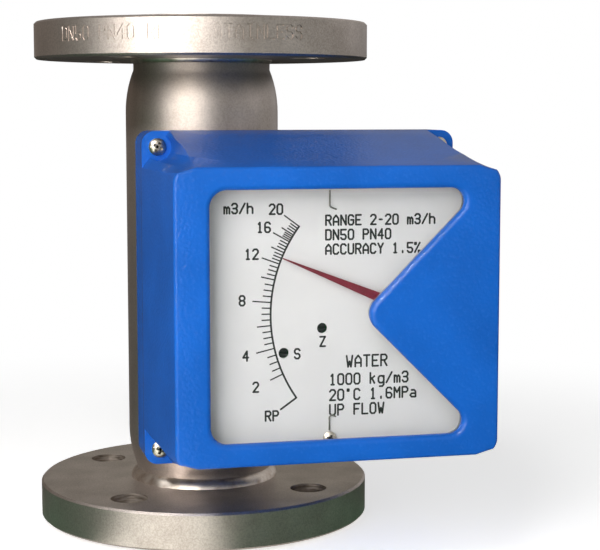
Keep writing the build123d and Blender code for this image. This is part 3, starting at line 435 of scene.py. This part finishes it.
asDrawn = (
    "lower_flange", "upper_flange", "metering_cone", "lower_guide", "upper_guide", "guide_clips",
    "guide_rod", "lower_stop", "upper_stop", "float_body", "float_magnet", "float_cap", "float_lower_bush",
    "float_upper_bush", "saddle_bracket", "housing_base", "base_gasket", "cover", "window_seal",
    "window_glass", "glass_retainer", "dial_plate", "dial_posts", "upper_wire_hook", "lower_wire_hook",
    "movement_plate", "rear_bearing", "front_bearing", "follower_shaft", "follower_arm", "follower_magnet",
    "counterweight", "arm_hub", "brake_disc", "sensor_magnet", "pointer", "pointer_hub", "brake_yoke",
    "brake_magnets", "board_posts", "circuit_board", "angle_sensor", "trimmers", "zero_trim_shaft",
    "span_trim_shaft", "terminal_block", "gland_body", "gland_nut", "gland_seal", "gland_blank",
    "lower_weld", "upper_weld")
for nodeName in asDrawn:
    polished(nodeName)
polished("measuring_tube", finish["tube"])
print("CAD forms merged and smoothed")


# Geometry Nodes: one helper starts a tree, one ends it, and one grows it into a plain mesh

def startTree(name, inputs):
    tree = bpy.data.node_groups.new(name, "GeometryNodeTree")
    tree.interface.new_socket("Geometry", in_out="INPUT", socket_type="NodeSocketGeometry")
    for label, kind in inputs.items():
        tree.interface.new_socket(label, in_out="INPUT", socket_type="NodeSocket" + kind)
    tree.interface.new_socket("Geometry", in_out="OUTPUT", socket_type="NodeSocketGeometry")
    return tree, addNode(tree, "NodeGroupInput").outputs


def endTree(tree, geometry, material):
    real = addNode(tree, "GeometryNodeRealizeInstances", {"Geometry": geometry})
    painted = addNode(tree, "GeometryNodeSetMaterial", {"Geometry": real, "Material": material})
    addNode(tree, "NodeGroupOutput", {"Geometry": painted})
    return tree


def pointCloud(name, places, attributes=None):
    mesh = bpy.data.meshes.new(name)
    mesh.from_pydata(places, [], [])
    for label, values in (attributes or {}).items():
        layer = mesh.attributes.new(label, "FLOAT", "POINT")
        layer.data.foreach_set("value", values)
    return mesh


def grown(name, seed, tree, values):
    source = bpy.data.objects.new(name + "Seed", seed)
    bpy.context.scene.collection.objects.link(source)
    modifier = source.modifiers.new("shape", "NODES")
    modifier.node_group = tree
    for socket in tree.interface.items_tree:
        if socket.in_out == "INPUT" and socket.name in values:
            modifier[socket.identifier] = values[socket.name]
    whole = source.evaluated_get(bpy.context.evaluated_depsgraph_get())
    mesh = bpy.data.meshes.new_from_object(whole)
    mesh.name = name
    bpy.data.objects.remove(source)
    return mesh


# Pan-head screws with a cross recess, one for each loose solid of a CAD node

# Head and recess sizes are shares of the head's radius or height, washer sizes are in mm
screwLook = {"headHeight": 0.62, "rim": 0.35, "crown": 3.4, "around": 32, "rings": 7, "wing": 0.40,
             "reach": 0.72, "recessDepth": 0.80, "recessTaper": (0.65, 0.8, 1.0), "shankSides": 20,
             "smoothAngle": 35.0, "washerBore": 2.0, "washerLimit": 2.0}


def panScrewTree():
    tree, given = startTree("panScrews", {
        "Head radius": "Float", "Head height": "Float", "Shank radius": "Float", "Shank length": "Float",
        "Facing": "Vector", "Seed": "Int", "Material": "Material"})
    radius, height = given["Head radius"], given["Head height"]
    rim = addNode(tree, "Math", {"operation": "MULTIPLY", 0: height, 1: screwLook["rim"]})
    head = addNode(tree, "GeometryNodeMeshCylinder", {
        "Vertices": screwLook["around"], "Fill Segments": screwLook["rings"], "Radius": radius, "Depth": rim})

    # The top of the head rises from its rim to a flat crown
    place = addNode(tree, "GeometryNodeInputPosition")
    parts = addNode(tree, "SeparateXYZ", {"Vector": place}).outputs
    flat = addNode(tree, "CombineXYZ", {"X": parts["X"], "Y": parts["Y"]})
    away = addNode(tree, "VectorMath", {"operation": "LENGTH", 0: flat}).outputs["Value"]
    share = addNode(tree, "Math", {"operation": "DIVIDE", 0: away, 1: radius})
    fall = addNode(tree, "Math", {"operation": "POWER", 0: share, 1: screwLook["crown"]})
    dome = addNode(tree, "Math", {"operation": "SUBTRACT", 0: 1.0, 1: fall})
    above = addNode(tree, "Math", {"operation": "SUBTRACT", 0: height, 1: rim})
    rise = addNode(tree, "Math", {"operation": "MULTIPLY", 0: dome, 1: above})
    crowned = addNode(tree, "GeometryNodeSetPosition", {
        "Geometry": head, "Selection": head.outputs["Top"], "Offset": addNode(tree, "CombineXYZ", {"Z": rise})})
    halfRim = addNode(tree, "Math", {"operation": "MULTIPLY", 0: rim, 1: 0.5})
    crowned = addNode(tree, "GeometryNodeTransform", {
        "Geometry": crowned, "Translation": addNode(tree, "CombineXYZ", {"Z": halfRim})})

    # Two crossed wings, narrower at the bottom, cut the recess
    deep = addNode(tree, "Math", {"operation": "MULTIPLY", 0: height, 1: 2.0 * screwLook["recessDepth"]})
    long = addNode(tree, "Math", {"operation": "MULTIPLY", 0: radius, 1: 2.0 * screwLook["reach"]})
    wide = addNode(tree, "Math", {"operation": "MULTIPLY", 0: radius, 1: screwLook["wing"]})
    wings = []
    for turn in (0.0, 90.0):
        wing = addNode(tree, "GeometryNodeMeshCube", {
            "Size": addNode(tree, "CombineXYZ", {"X": long, "Y": wide, "Z": deep})})
        corner = addNode(tree, "GeometryNodeInputPosition")
        level = addNode(tree, "SeparateXYZ", {"Vector": corner}).outputs["Z"]
        low = addNode(tree, "FunctionNodeCompare", {"operation": "LESS_THAN", 0: level})
        narrow = addNode(tree, "VectorMath", {"operation": "MULTIPLY", 0: corner, 1: screwLook["recessTaper"]})
        wing = addNode(tree, "GeometryNodeSetPosition", {
            "Geometry": wing, "Selection": low, "Position": narrow})
        wings.append(addNode(tree, "GeometryNodeTransform", {
            "Rotation": (0.0, 0.0, math.radians(turn)), "Geometry": wing,
            "Translation": addNode(tree, "CombineXYZ", {"Z": height})}))
    cut = addNode(tree, "GeometryNodeMeshBoolean", {
        "operation": "DIFFERENCE", "Mesh 1": crowned, "Mesh 2": wings})

    shank = addNode(tree, "GeometryNodeMeshCylinder", {
        "Vertices": screwLook["shankSides"], "Radius": given["Shank radius"], "Depth": given["Shank length"]})
    sunk = addNode(tree, "Math", {"operation": "MULTIPLY", 0: given["Shank length"], 1: -0.5})
    shank = addNode(tree, "GeometryNodeTransform", {
        "Geometry": shank, "Translation": addNode(tree, "CombineXYZ", {"Z": sunk})})
    screw = addNode(tree, "GeometryNodeJoinGeometry", {"Geometry": [cut, shank]})

    # Each screw stops at its own angle
    spin = addNode(tree, "FunctionNodeRandomValue", {"data_type": "FLOAT", "Seed": given["Seed"]})
    for socket in spin.inputs:
        if socket.name == "Max" and socket.type == "VALUE":
            socket.default_value = math.pi
    turned = addNode(tree, "FunctionNodeAxisAngleToRotation", {
        "Axis": (0.0, 0.0, 1.0), "Angle": [out for out in spin.outputs if out.type == "VALUE"][0]})
    faced = addNode(tree, "FunctionNodeEulerToRotation", {"Euler": given["Facing"]})
    both = addNode(tree, "FunctionNodeRotateRotation", {
        "rotation_space": "LOCAL", "Rotation": faced, "Rotate By": turned})
    spots = addNode(tree, "GeometryNodeMeshToPoints", {"Mesh": given["Geometry"]})
    copies = addNode(tree, "GeometryNodeInstanceOnPoints", {
        "Points": spots, "Instance": screw, "Rotation": both})
    return endTree(tree, copies, given["Material"])


def looseBoxes(nodeName):
    # The lowest and highest corner of each loose solid in a CAD node
    data = mergedCopy(nodeName)
    seen, boxes = set(), []
    for start in data.verts:
        if start in seen:
            continue
        group, waiting = [], [start]
        seen.add(start)
        while waiting:
            vertex = waiting.pop()
            group.append(vertex.co.copy())
            for edge in vertex.link_edges:
                other = edge.other_vert(vertex)
                if other not in seen:
                    seen.add(other)
                    waiting.append(other)
        boxes.append([Vector(ends(c[i] for c in group) for i in range(3)) for ends in (min, max)])
    data.free()
    return boxes


# For each way that a head can face: the turn from +Z, the axis and the sign along it
facings = {"front": ((math.radians(90), 0.0, 0.0), 1, -1), "back": ((math.radians(-90), 0.0, 0.0), 1, 1),
           "right": ((0.0, math.radians(90), 0.0), 0, 1)}


def screws(nodeName, facing, tree, seed, extra=None):
    turn, axis, way = facings[facing]
    boxes = [b for b in looseBoxes(nodeName) if (b[1] - b[0])[axis] > screwLook["washerLimit"] * mm]
    radius = (boxes[0][1] - boxes[0][0])[2] / 2
    height = screwLook["headHeight"] * radius
    length = (boxes[0][1] - boxes[0][0])[axis] - height
    seats = []
    for low, high in boxes:
        seat = (low + high) / 2
        seat[axis] = (high[axis] - height) if way > 0 else (low[axis] + height)
        seats.append(seat)
    mesh = grown(camelCase(nodeName), pointCloud(nodeName + "Seats", seats), tree, {
        "Head radius": radius, "Head height": height, "Shank radius": radius / 2, "Shank length": length,
        "Facing": turn, "Seed": seed, "Material": finish[slotOf[nodeName]]})
    if extra:
        mesh = joined(mesh, extra)
    smoothed(mesh, screwLook["smoothAngle"])
    belongs(placed(camelCase(nodeName), mesh, finish[slotOf[nodeName]]), nodeName)


def joined(first, second):
    data = bmesh.new()
    data.from_mesh(first)
    data.from_mesh(second)
    data.to_mesh(first)
    data.free()
    return first


def closedMesh(name, places, faces):
    # A plain mesh whose faces all point outwards
    mesh = bpy.data.meshes.new(name)
    mesh.from_pydata(places, [], faces)
    data = bmesh.new()
    data.from_mesh(mesh)
    bmesh.ops.recalc_face_normals(data, faces=data.faces)
    data.to_mesh(mesh)
    data.free()
    return mesh


def flatWasher(low, high, bore, around=40):
    # A plain washer square to X, as one closed ring
    middle = (low + high) / 2
    outer = (high - low)[2] / 2
    section = [(low[0], bore), (low[0], outer), (high[0], outer), (high[0], bore)]
    places, faces = [], []
    for i in range(around):
        a = 2 * math.pi * i / around
        places += [(x, middle[1] + r * math.cos(a), middle[2] + r * math.sin(a)) for x, r in section]
        for k in range(4):
            j = (i + 1) % around
            faces.append((4 * i + k, 4 * i + (k + 1) % 4, 4 * j + (k + 1) % 4, 4 * j + k))
    return closedMesh("flatWasher", places, faces)


screwTree = panScrewTree()
frontScrews = ("cover_screws", "bracket_screws", "plate_screws", "dial_screws", "board_screws")
for seed, nodeName in enumerate(frontScrews):
    screws(nodeName, "front", screwTree, seed)
screws("retainer_screws", "back", screwTree, 5)
washerBox = [b for b in looseBoxes("earth_screw") if (b[1] - b[0])[0] < screwLook["washerLimit"] * mm][0]
screws("earth_screw", "right", screwTree, 6, flatWasher(*washerBox, screwLook["washerBore"] * mm))
print("screws grown")


# Dial print: the scale's marks are grown, figures and words are single strokes of a plotter font.
# Sizes are in mm, places are from the pointer's pivot, and labels give the radius of each figure

dialPrint = {
    "pivot": (72.2, 117.4), "ink": 0.05, "stroke": 0.84, "markWidth": 0.58,
    "arc": 64.2, "arcEnd": -34.7, "arcSteps": 60, "endLine": 8.5,
    "angles": {20: 36.6, 18: 32.6, 16: 29.6, 14: 24.9, 12: 20.2, 10: 13.8, 8: 5.0, 6: -4.0,
               4: -13.0, 2: -23.75},
    "marks": {"short": 4.0, "middle": 6.2, "long": 8.3}, "step": 0.5,
    "labels": {"20": 76.9, "16": 77.2, "12": 77.2, "8": 77.0, "4": 77.2, "2": 77.4},
    "endLabel": ("RP", 77.5), "labelHeight": 4.2,
    # Each other text with its place, the height of its capitals and whether it is centred there
    "texts": [
        ("m3/h", -84.3, 46.4, 4.2, False), ("S", -52.4, -17.2, 4.2, True), ("Z", -41.0, -12.2, 4.2, True),
        ("RANGE 2-20 m3/h", -39.6, 40.7, 4.2, False), ("DN50 PN40", -39.6, 34.4, 4.2, False),
        ("ACCURACY 1.5%", -39.6, 28.1, 4.2, False), ("WATER", -21.0, -21.4, 4.9, True),
        ("1000 kg/m3", -37.7, -29.2, 4.6, False), ("20°C 1.6MPa", -37.7, -36.1, 4.6, False),
        ("UP FLOW", -37.7, -42.7, 4.6, False)]}

# Letters on a grid of 5 by 9 dots: each pair is a dot's column and row, and | lifts the pen
fontGrid = {"rowsPerHeight": 6, "middleRow": 5, "narrow": 0.8, "pitch": 0.8, "gap": 1.6}

strokeFont = {
    "0": "03 07 18 38 47 43 32 12 03", "1": "17 28 22|12 32", "2": "07 18 38 47 46 02 42",
    "3": "07 18 38 47 46 35 44 43 32 12 03|15 35", "4": "32 38 04 44", "5": "48 08 05 35 44 43 32 12 03",
    "6": "47 38 18 07 03 12 32 43 44 35 05", "7": "08 48 47 12",
    "8": "15 06 07 18 38 47 46 35 15 04 03 12 32 43 44 35",
    "A": "02 06 28 46 42|04 44", "C": "47 38 18 07 03 12 32 43", "D": "02 08 38 47 43 32 02",
    "E": "48 08 02 42|05 35", "F": "48 08 02|05 35", "G": "47 38 18 07 03 12 32 43 45 25",
    "I": "12 32|22 28|18 38", "L": "08 02 42", "M": "02 08 25 48 42", "N": "02 08 42 48",
    "O": "03 07 18 38 47 43 32 12 03", "P": "02 08 38 47 46 35 05", "R": "02 08 38 47 46 35 05|25 42",
    "S": "03 12 32 43 44 35 15 06 07 18 38 47", "T": "08 48|28 22", "U": "08 03 12 32 43 48",
    "W": "08 12 25 32 48", "Y": "08 25 48|25 22", "Z": "08 48 02 42", "a": "16 36 45 42 12 03 14 44",
    "g": "45 36 16 05 03 12 32 43|46 41 30 10", "h": "02 08|05 16 36 45 42", "k": "02 08|36 04|15 32",
    "m": "02 06|05 16 25 22|25 36 45 42", "/": "02 48", "-": "15 35", ".": "22 23",
    "%": "02 48|17 18 08 07 17|42 43 33 32 42", "°": "17 18 28 27 17"}


def words(text, x, z, height, centred=False):
    # Open strokes for one line of text, with z at the middle of the capitals
    unit = height / fontGrid["rowsPerHeight"]
    pitch = fontGrid["pitch"] * height
    left = x - (len(text) * pitch - fontGrid["gap"] * unit) / 2 if centred else x
    lines = []
    for place, letter in enumerate(text):
        for stroke in filter(None, strokeFont.get(letter, "").split("|")):
            lines.append([(left + place * pitch + fontGrid["narrow"] * unit * int(dot[0]),
                           z + unit * (int(dot[1]) - fontGrid["middleRow"])) for dot in stroke.split()])
    return lines


def polar(radius, degrees):
    # The scale lies left of the pivot, so angles are counted up from -X
    a = math.radians(degrees)
    return (-radius * math.cos(a), radius * math.sin(a))


# The round joints are a little thinner than the bars, so that their faces never lie in one plane
barLook = {"jointSides": 10, "jointDepth": 0.93, "shortest": 1e-6}


def strokeBars(name, lines, width, depth, place):
    # Closed bars with round joints; place turns the flat (x, y, z) in millimetres into a point of the object
    half = width / 2
    places, faces = [], []

    def prism(outline, thick):
        start, count = len(places), len(outline)
        places.extend(place(x, side * thick, z) for side in (-1, 1) for x, z in outline)
        faces.append([start + i for i in range(count)])
        faces.append([start + count + i for i in reversed(range(count))])
        for i in range(count):
            j = (i + 1) % count
            faces.append([start + i, start + count + i, start + count + j, start + j])

    turns = [i * math.pi / (barLook["jointSides"] / 2) for i in range(barLook["jointSides"])]
    around = [(math.cos(turn) * half, math.sin(turn) * half) for turn in turns]
    for line in lines:
        for x, z in line:
            prism([(x + dx, z + dz) for dx, dz in around], barLook["jointDepth"] * depth)
        for (x, z), (nextX, nextZ) in zip(line, line[1:]):
            reach = math.hypot(nextX - x, nextZ - z)
            if reach > barLook["shortest"]:
                dx, dz = (z - nextZ) / reach * half, (nextX - x) / reach * half
                prism([(x + dx, z + dz), (nextX + dx, nextZ + dz),
                       (nextX - dx, nextZ - dz), (x - dx, z - dz)], depth)
    return closedMesh(name, places, faces)


def inkMesh(name, lines, width):
    # Strokes laid on the dial's face
    pivotX, pivotZ = dialPrint["pivot"]
    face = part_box("dial_plate")[0][1]
    return strokeBars(name, lines, width, dialPrint["ink"],
                      lambda x, y, z: ((pivotX + x) * mm, face + y * mm, (pivotZ + z) * mm))


def dialWords():
    height, arc, end = dialPrint["labelHeight"], dialPrint["arc"], dialPrint["arcEnd"]
    top, steps = dialPrint["angles"][20], dialPrint["arcSteps"]
    lines = [[polar(arc, end + i * (top - end) / steps) for i in range(steps + 1)]]
    lines.append([polar(arc, end), polar(arc + dialPrint["endLine"], end)])
    for text, radius in dialPrint["labels"].items():
        lines += words(text, *polar(radius, dialPrint["angles"][int(text)]), height, True)
    endText, endRadius = dialPrint["endLabel"]
    lines += words(endText, *polar(endRadius, end), height, True)
    for text, x, z, size, centred in dialPrint["texts"]:
        lines += words(text, x, z, size, centred)
    return lines


def markTree():
    tree, given = startTree("scaleMarks", {
        "Radius": "Float", "Line width": "Float", "Ink": "Float", "Material": "Material"})
    turn, reach = [addNode(tree, "GeometryNodeInputNamedAttribute", {"data_type": "FLOAT", "Name": name})
                   for name in ("turn", "reach")]
    bar = addNode(tree, "GeometryNodeMeshCube", {
        "Size": addNode(tree, "CombineXYZ", {"X": 1.0, "Y": given["Ink"], "Z": given["Line width"]})})
    bar = addNode(tree, "GeometryNodeTransform", {"Translation": (-0.5, 0.0, 0.0), "Geometry": bar})
    cosine = addNode(tree, "Math", {"operation": "COSINE", 0: turn})
    across = addNode(tree, "Math", {"operation": "MULTIPLY", 0: cosine, 1: given["Radius"]})
    across = addNode(tree, "Math", {"operation": "MULTIPLY", 0: across, 1: -1.0})
    sine = addNode(tree, "Math", {"operation": "SINE", 0: turn})
    upward = addNode(tree, "Math", {"operation": "MULTIPLY", 0: sine, 1: given["Radius"]})
    moved = addNode(tree, "GeometryNodeSetPosition", {
        "Geometry": given["Geometry"], "Offset": addNode(tree, "CombineXYZ", {"X": across, "Z": upward})})
    spots = addNode(tree, "GeometryNodeMeshToPoints", {"Mesh": moved})
    euler = addNode(tree, "FunctionNodeEulerToRotation", {"Euler": addNode(tree, "CombineXYZ", {"Y": turn})})
    marks = addNode(tree, "GeometryNodeInstanceOnPoints", {
        "Points": spots, "Instance": bar, "Rotation": euler,
        "Scale": addNode(tree, "CombineXYZ", {"X": reach, "Y": 1.0, "Z": 1.0})})
    return endTree(tree, marks, given["Material"])


def scaleMarks():
    # A mark every half unit, its angle read between the numbered ones
    angles = dialPrint["angles"]
    turns, reaches = [], []
    for i in range(int((20 - 2) / dialPrint["step"]) + 1):
        value = 2 + i * dialPrint["step"]
        low = min(int(value / 2) * 2, 18)
        share = (value - low) / 2
        turns.append(math.radians(angles[low] + share * (angles[low + 2] - angles[low])))
        kind = "long" if value % 4 == 0 else "middle" if value % 2 == 0 else "short"
        reaches.append(dialPrint["marks"][kind] * mm)
    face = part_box("dial_plate")[0][1]
    pivot = (dialPrint["pivot"][0] * mm, face, dialPrint["pivot"][1] * mm)
    seed = pointCloud("markPlaces", [pivot] * len(turns), {"turn": turns, "reach": reaches})
    return grown("scaleMarks", seed, markTree(), {
        "Radius": dialPrint["arc"] * mm, "Line width": dialPrint["markWidth"] * mm,
        "Ink": 2 * dialPrint["ink"] * mm, "Material": finish["ink"]})


# Stamped rim of the upper flange: generic size and pressure class, cut in with the same single strokes

stampLook = {"height": 6.2, "width": 0.85, "depth": 0.45, "lift": 0.6,
             "startAngles": {"DN50 PN40 RF": 241.0, "STAINLESS": 186.0}}


def stampedFlange():
    low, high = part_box("upper_flange")
    radius = (high[0] - low[0]) / 2 / mm
    level = (low[2] + high[2]) / 2 / mm + stampLook["lift"]
    letters = []
    for text, start in stampLook["startAngles"].items():

        def wrapped(x, y, z, start=start):
            a = math.radians(start) - x / radius
            return ((radius + y) * math.sin(a) * mm, (radius + y) * math.cos(a) * mm, z * mm)

        lines = words(text, 0.0, level, stampLook["height"])
        letters.append(strokeBars("stamp", lines, stampLook["width"], stampLook["depth"], wrapped))
    tools = placed("stampTools", joined(*letters), finish["ink"])
    flange = bpy.data.objects["upperFlange"]
    cut = flange.modifiers.new("stamp", "BOOLEAN")
    cut.object = tools
    cut.operation = "DIFFERENCE"
    cut.solver = "EXACT"
    cut.use_self = True
    mesh = bpy.data.meshes.new_from_object(flange.evaluated_get(bpy.context.evaluated_depsgraph_get()))
    flange.modifiers.clear()
    bpy.data.objects.remove(tools)
    print("stamped rim, faces:", len(flange.data.polygons), "to", len(mesh.polygons))
    flange.data = smoothed(mesh)
    flange.data.materials.clear()
    flange.data.materials.append(finish["stainless"])


stampedFlange()

# The walls of the bolt holes take the drilled finish
boltRing = {"inner": 50.0, "outer": 75.0, "steep": 0.3}
for name in ("lowerFlange", "upperFlange"):
    flange = bpy.data.objects[name].data
    flange.materials.append(finish["bore"])
    for face in flange.polygons:
        away = face.center.xy.length / mm
        if boltRing["inner"] < away < boltRing["outer"] and abs(face.normal.z) < boltRing["steep"]:
            face.material_index = 1

marks = scaleMarks()
dialInk = placed("dialInk", joined(marks, inkMesh("dialWords", dialWords(), dialPrint["stroke"])), finish["ink"])
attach(dialInk, "root")
print("dial printed")


# Stage, light and camera. Angles are azimuths from +Y towards +X, lengths are in metres

white = (1.0, 1.0, 1.0, 1.0)
# The bench, lit paper and under paper colours are painted reflections: glows of the floor that only glossy
# surfaces see
stageLook = {"floorSize": 6.0, "floorGap": 0.05 * mm, "floorWhiteFrom": 0.20, "floorWhiteTo": 0.55,
             "floorLift": 0.56, "plainLight": 0.21, "fibresPerMetre": 400.0,
             "bench": (0.036, 0.118, 0.060, 1.0), "paintedBenchBehind": (0.050, 0.049, 0.044, 1.0),
             "paintedKeyPool": (1.9, 1.95, 1.8, 1.0), "paintedUnderGlow": (0.85, 0.82, 0.78, 1.0), "underRadius": 0.083,
             "behindLobe": ((10.0, 0), 55, 100), "paintedKeyLobe": ((207.0, 0), 4, 30)}
# What glossy surfaces see of the room: a colour, and where it lies with its inner and outer angle
roomLook = {"dim": (0.07, 0.065, 0.058, 1.0), "lobes": [
    ((0.74, 0.72, 0.71, 1.0), (100, 5), 45, 85),
    ((0.16, 0.125, 0.10, 1.0), (318, 2), 15, 50),
    ((0.50, 0.47, 0.41, 1.0), (19, 22), 9, 24)]}
# Azimuth, height, distance, size, power, aim, tint, and whether only glossy surfaces show the lamp:
# the two bright panes are for these alone, and make the enamel's edges sparkle
lampLook = {
    "keyLight": (215, 15, 0.8, (0.5, 0.5), 4.8, (0.0, -0.05, 0.14), "#FFFBF6", False),
    "roomLamp": (192, 14, 1.1, (0.5, 0.4), 1.1, (0.0, -0.05, 0.14), "#FFFFFF", False),
    "upperLamp": (208, 47, 1.0, (0.2, 0.2), 1.9, (0.02, -0.1, 0.15), "#FFFFFF", False),
    "highPane": (236, 42, 1.0, (0.11, 0.11), 13.0, (0.02, -0.13, 0.13), "#FFFFFF", True),
    "sidePane": (241, 5, 1.0, (0.03, 0.20), 1.1, (0.0, -0.08, 0.13), "#FFFFFF", True)}
cameraView = {"place": (-134.05, -774.85, 207.55), "azimuth": 13.40, "dip": 6.22, "lens": 93.42, "sensor": 36.0,
              "nearest": 0.01, "farthest": 20.0}


def direction(azimuth, height):
    a, h = math.radians(azimuth), math.radians(height)
    return (math.sin(a) * math.cos(h), math.cos(a) * math.cos(h), math.sin(h))


def lobe(tree, heading, towards, inner, outer):
    # 1 inside the inner angle about a direction, 0 outside the outer one
    dot = addNode(tree, "VectorMath", {"operation": "DOT_PRODUCT", 0: heading, 1: direction(*towards)})
    return addNode(tree, "MapRange", {
        "interpolation_type": "SMOOTHSTEP", "From Min": math.cos(math.radians(outer)),
        "From Max": math.cos(math.radians(inner)), "Value": dot.outputs["Value"]})


def studioWorld():
    # White behind the object; glossy surfaces see that white and a dim room round the rest
    world = bpy.data.worlds.new("studio")
    bpy.context.scene.world = world
    world.use_nodes = True
    tree = world.node_tree
    tree.nodes.clear()
    heading = addNode(tree, "TexCoord").outputs["Generated"]
    room = roomLook["dim"]
    for tone, towards, inner, outer in roomLook["lobes"]:
        room = addNode(tree, "MixRGB", {
            "Fac": lobe(tree, heading, towards, inner, outer), "Color1": room, "Color2": tone})
    path = addNode(tree, "LightPath").outputs
    plain = (stageLook["plainLight"],) * 3 + (1.0,)
    seen = addNode(tree, "MixRGB", {"Fac": path["Is Glossy Ray"], "Color1": plain, "Color2": room})
    clear = addNode(tree, "Math", {
        "operation": "MAXIMUM", 0: path["Is Camera Ray"], 1: path["Is Transmission Ray"]})
    seen = addNode(tree, "MixRGB", {"Fac": clear, "Color1": seen, "Color2": white})
    background = addNode(tree, "Background", {"Strength": 1.0, "Color": seen})
    addNode(tree, "OutputWorld", {"Surface": background})


def paleFloor():
    # Pale paper floor: it keeps a soft shadow near the object and runs out to plain white
    material, tree = newMaterial("palePaper")
    place = objectPlace(tree, (mm, mm, mm))
    reach = addNode(tree, "VectorMath", {"operation": "LENGTH", 0: place}).outputs["Value"]
    far = addNode(tree, "MapRange", {
        "interpolation_type": "SMOOTHSTEP", "From Min": stageLook["floorWhiteFrom"],
        "From Max": stageLook["floorWhiteTo"], "Value": reach})
    path = addNode(tree, "LightPath").outputs
    looks = addNode(tree, "Math", {
        "operation": "MAXIMUM", 0: path["Is Camera Ray"], 1: path["Is Transmission Ray"]})
    factor = addNode(tree, "Math", {"operation": "MULTIPLY", 0: far, 1: looks})
    fibres = addNode(tree, "TexNoise", {
        "Scale": stageLook["fibresPerMetre"], "Detail": 3.0, "Roughness": 0.55, "Vector": place})
    tone = addNode(tree, "ValToRGB", {"Fac": fibres, "stops": [(0.3, "#F7F7F7"), (0.7, "#FFFFFF")]})
    paper = addNode(tree, "BsdfDiffuse", {"Color": tone})
    lift = addNode(tree, "Math", {"operation": "MULTIPLY", 0: looks, 1: stageLook["floorLift"]})
    glow = addNode(tree, "Emission", {"Color": white, "Strength": lift})
    lifted = addNode(tree, "AddShader", {0: paper, 1: glow})
    plain = addNode(tree, "Emission", {"Color": white, "Strength": 1.0})
    mixed = addNode(tree, "MixShader", {"Fac": factor, 1: lifted, 2: plain})
    # Glossy rays see the floor as a glow, a painted reflection: bench green in front and grey behind, a painted
    # pool of key light on the paper, and pale paper under the flange
    towards = addNode(tree, "VectorMath", {"operation": "NORMALIZE", 0: place})
    shade = addNode(tree, "MixRGB", {
        "Fac": lobe(tree, towards, *stageLook["behindLobe"]), "Color1": stageLook["bench"],
        "Color2": stageLook["paintedBenchBehind"]})
    shade = addNode(tree, "MixRGB", {
        "Fac": lobe(tree, towards, *stageLook["paintedKeyLobe"]), "Color1": shade, "Color2": stageLook["paintedKeyPool"]})
    under = addNode(tree, "Math", {"operation": "LESS_THAN", 0: reach, 1: stageLook["underRadius"]})
    shade = addNode(tree, "MixRGB", {"Fac": under, "Color1": shade, "Color2": stageLook["paintedUnderGlow"]})
    bench = addNode(tree, "Emission", {"Strength": 1.0, "Color": shade})
    mixed = addNode(tree, "MixShader", {"Fac": path["Is Glossy Ray"], 1: mixed, 2: bench})
    addNode(tree, "OutputMaterial", {"Surface": mixed})
    half = stageLook["floorSize"] / 2
    corners = [(-half, -half, 0), (half, -half, 0), (half, half, 0), (-half, half, 0)]
    mesh = bpy.data.meshes.new("floor")
    mesh.from_pydata(corners, [], [(0, 1, 2, 3)])
    mesh.transform(Matrix.Translation((0, 0, cadLow.z - stageLook["floorGap"])))
    placed("floor", mesh, material)


def softbox(name, azimuth, height, distance, size, power, aim, tint, glintOnly):
    lamp = bpy.data.lights.new(name, "AREA")
    lamp.shape = "RECTANGLE"
    lamp.size, lamp.size_y = size
    lamp.energy = power
    lamp.color = colour(tint)[:3]
    light = bpy.data.objects.new(name, lamp)
    light.location = Vector(aim) + Vector(direction(azimuth, height)) * distance
    light.rotation_euler = (-Vector(direction(azimuth, height))).to_track_quat("-Z", "Y").to_euler()
    light.visible_camera = False
    light.visible_diffuse = not glintOnly
    bpy.context.scene.collection.objects.link(light)


def photoCamera():
    lens = bpy.data.cameras.new("camera")
    lens.sensor_width = cameraView["sensor"]
    lens.lens = cameraView["lens"]
    lens.clip_start = cameraView["nearest"]
    lens.clip_end = cameraView["farthest"]
    camera = bpy.data.objects.new("camera", lens)
    camera.location = Vector(cameraView["place"]) * mm
    camera.rotation_euler = (math.radians(90 - cameraView["dip"]), 0, math.radians(-cameraView["azimuth"]))
    bpy.context.scene.collection.objects.link(camera)
    bpy.context.scene.camera = camera


studioWorld()
paleFloor()
for name, look in lampLook.items():
    softbox(name, *look)
photoCamera()
bpy.context.scene.view_settings.view_transform = "Standard"
print("stage, light and camera ready")
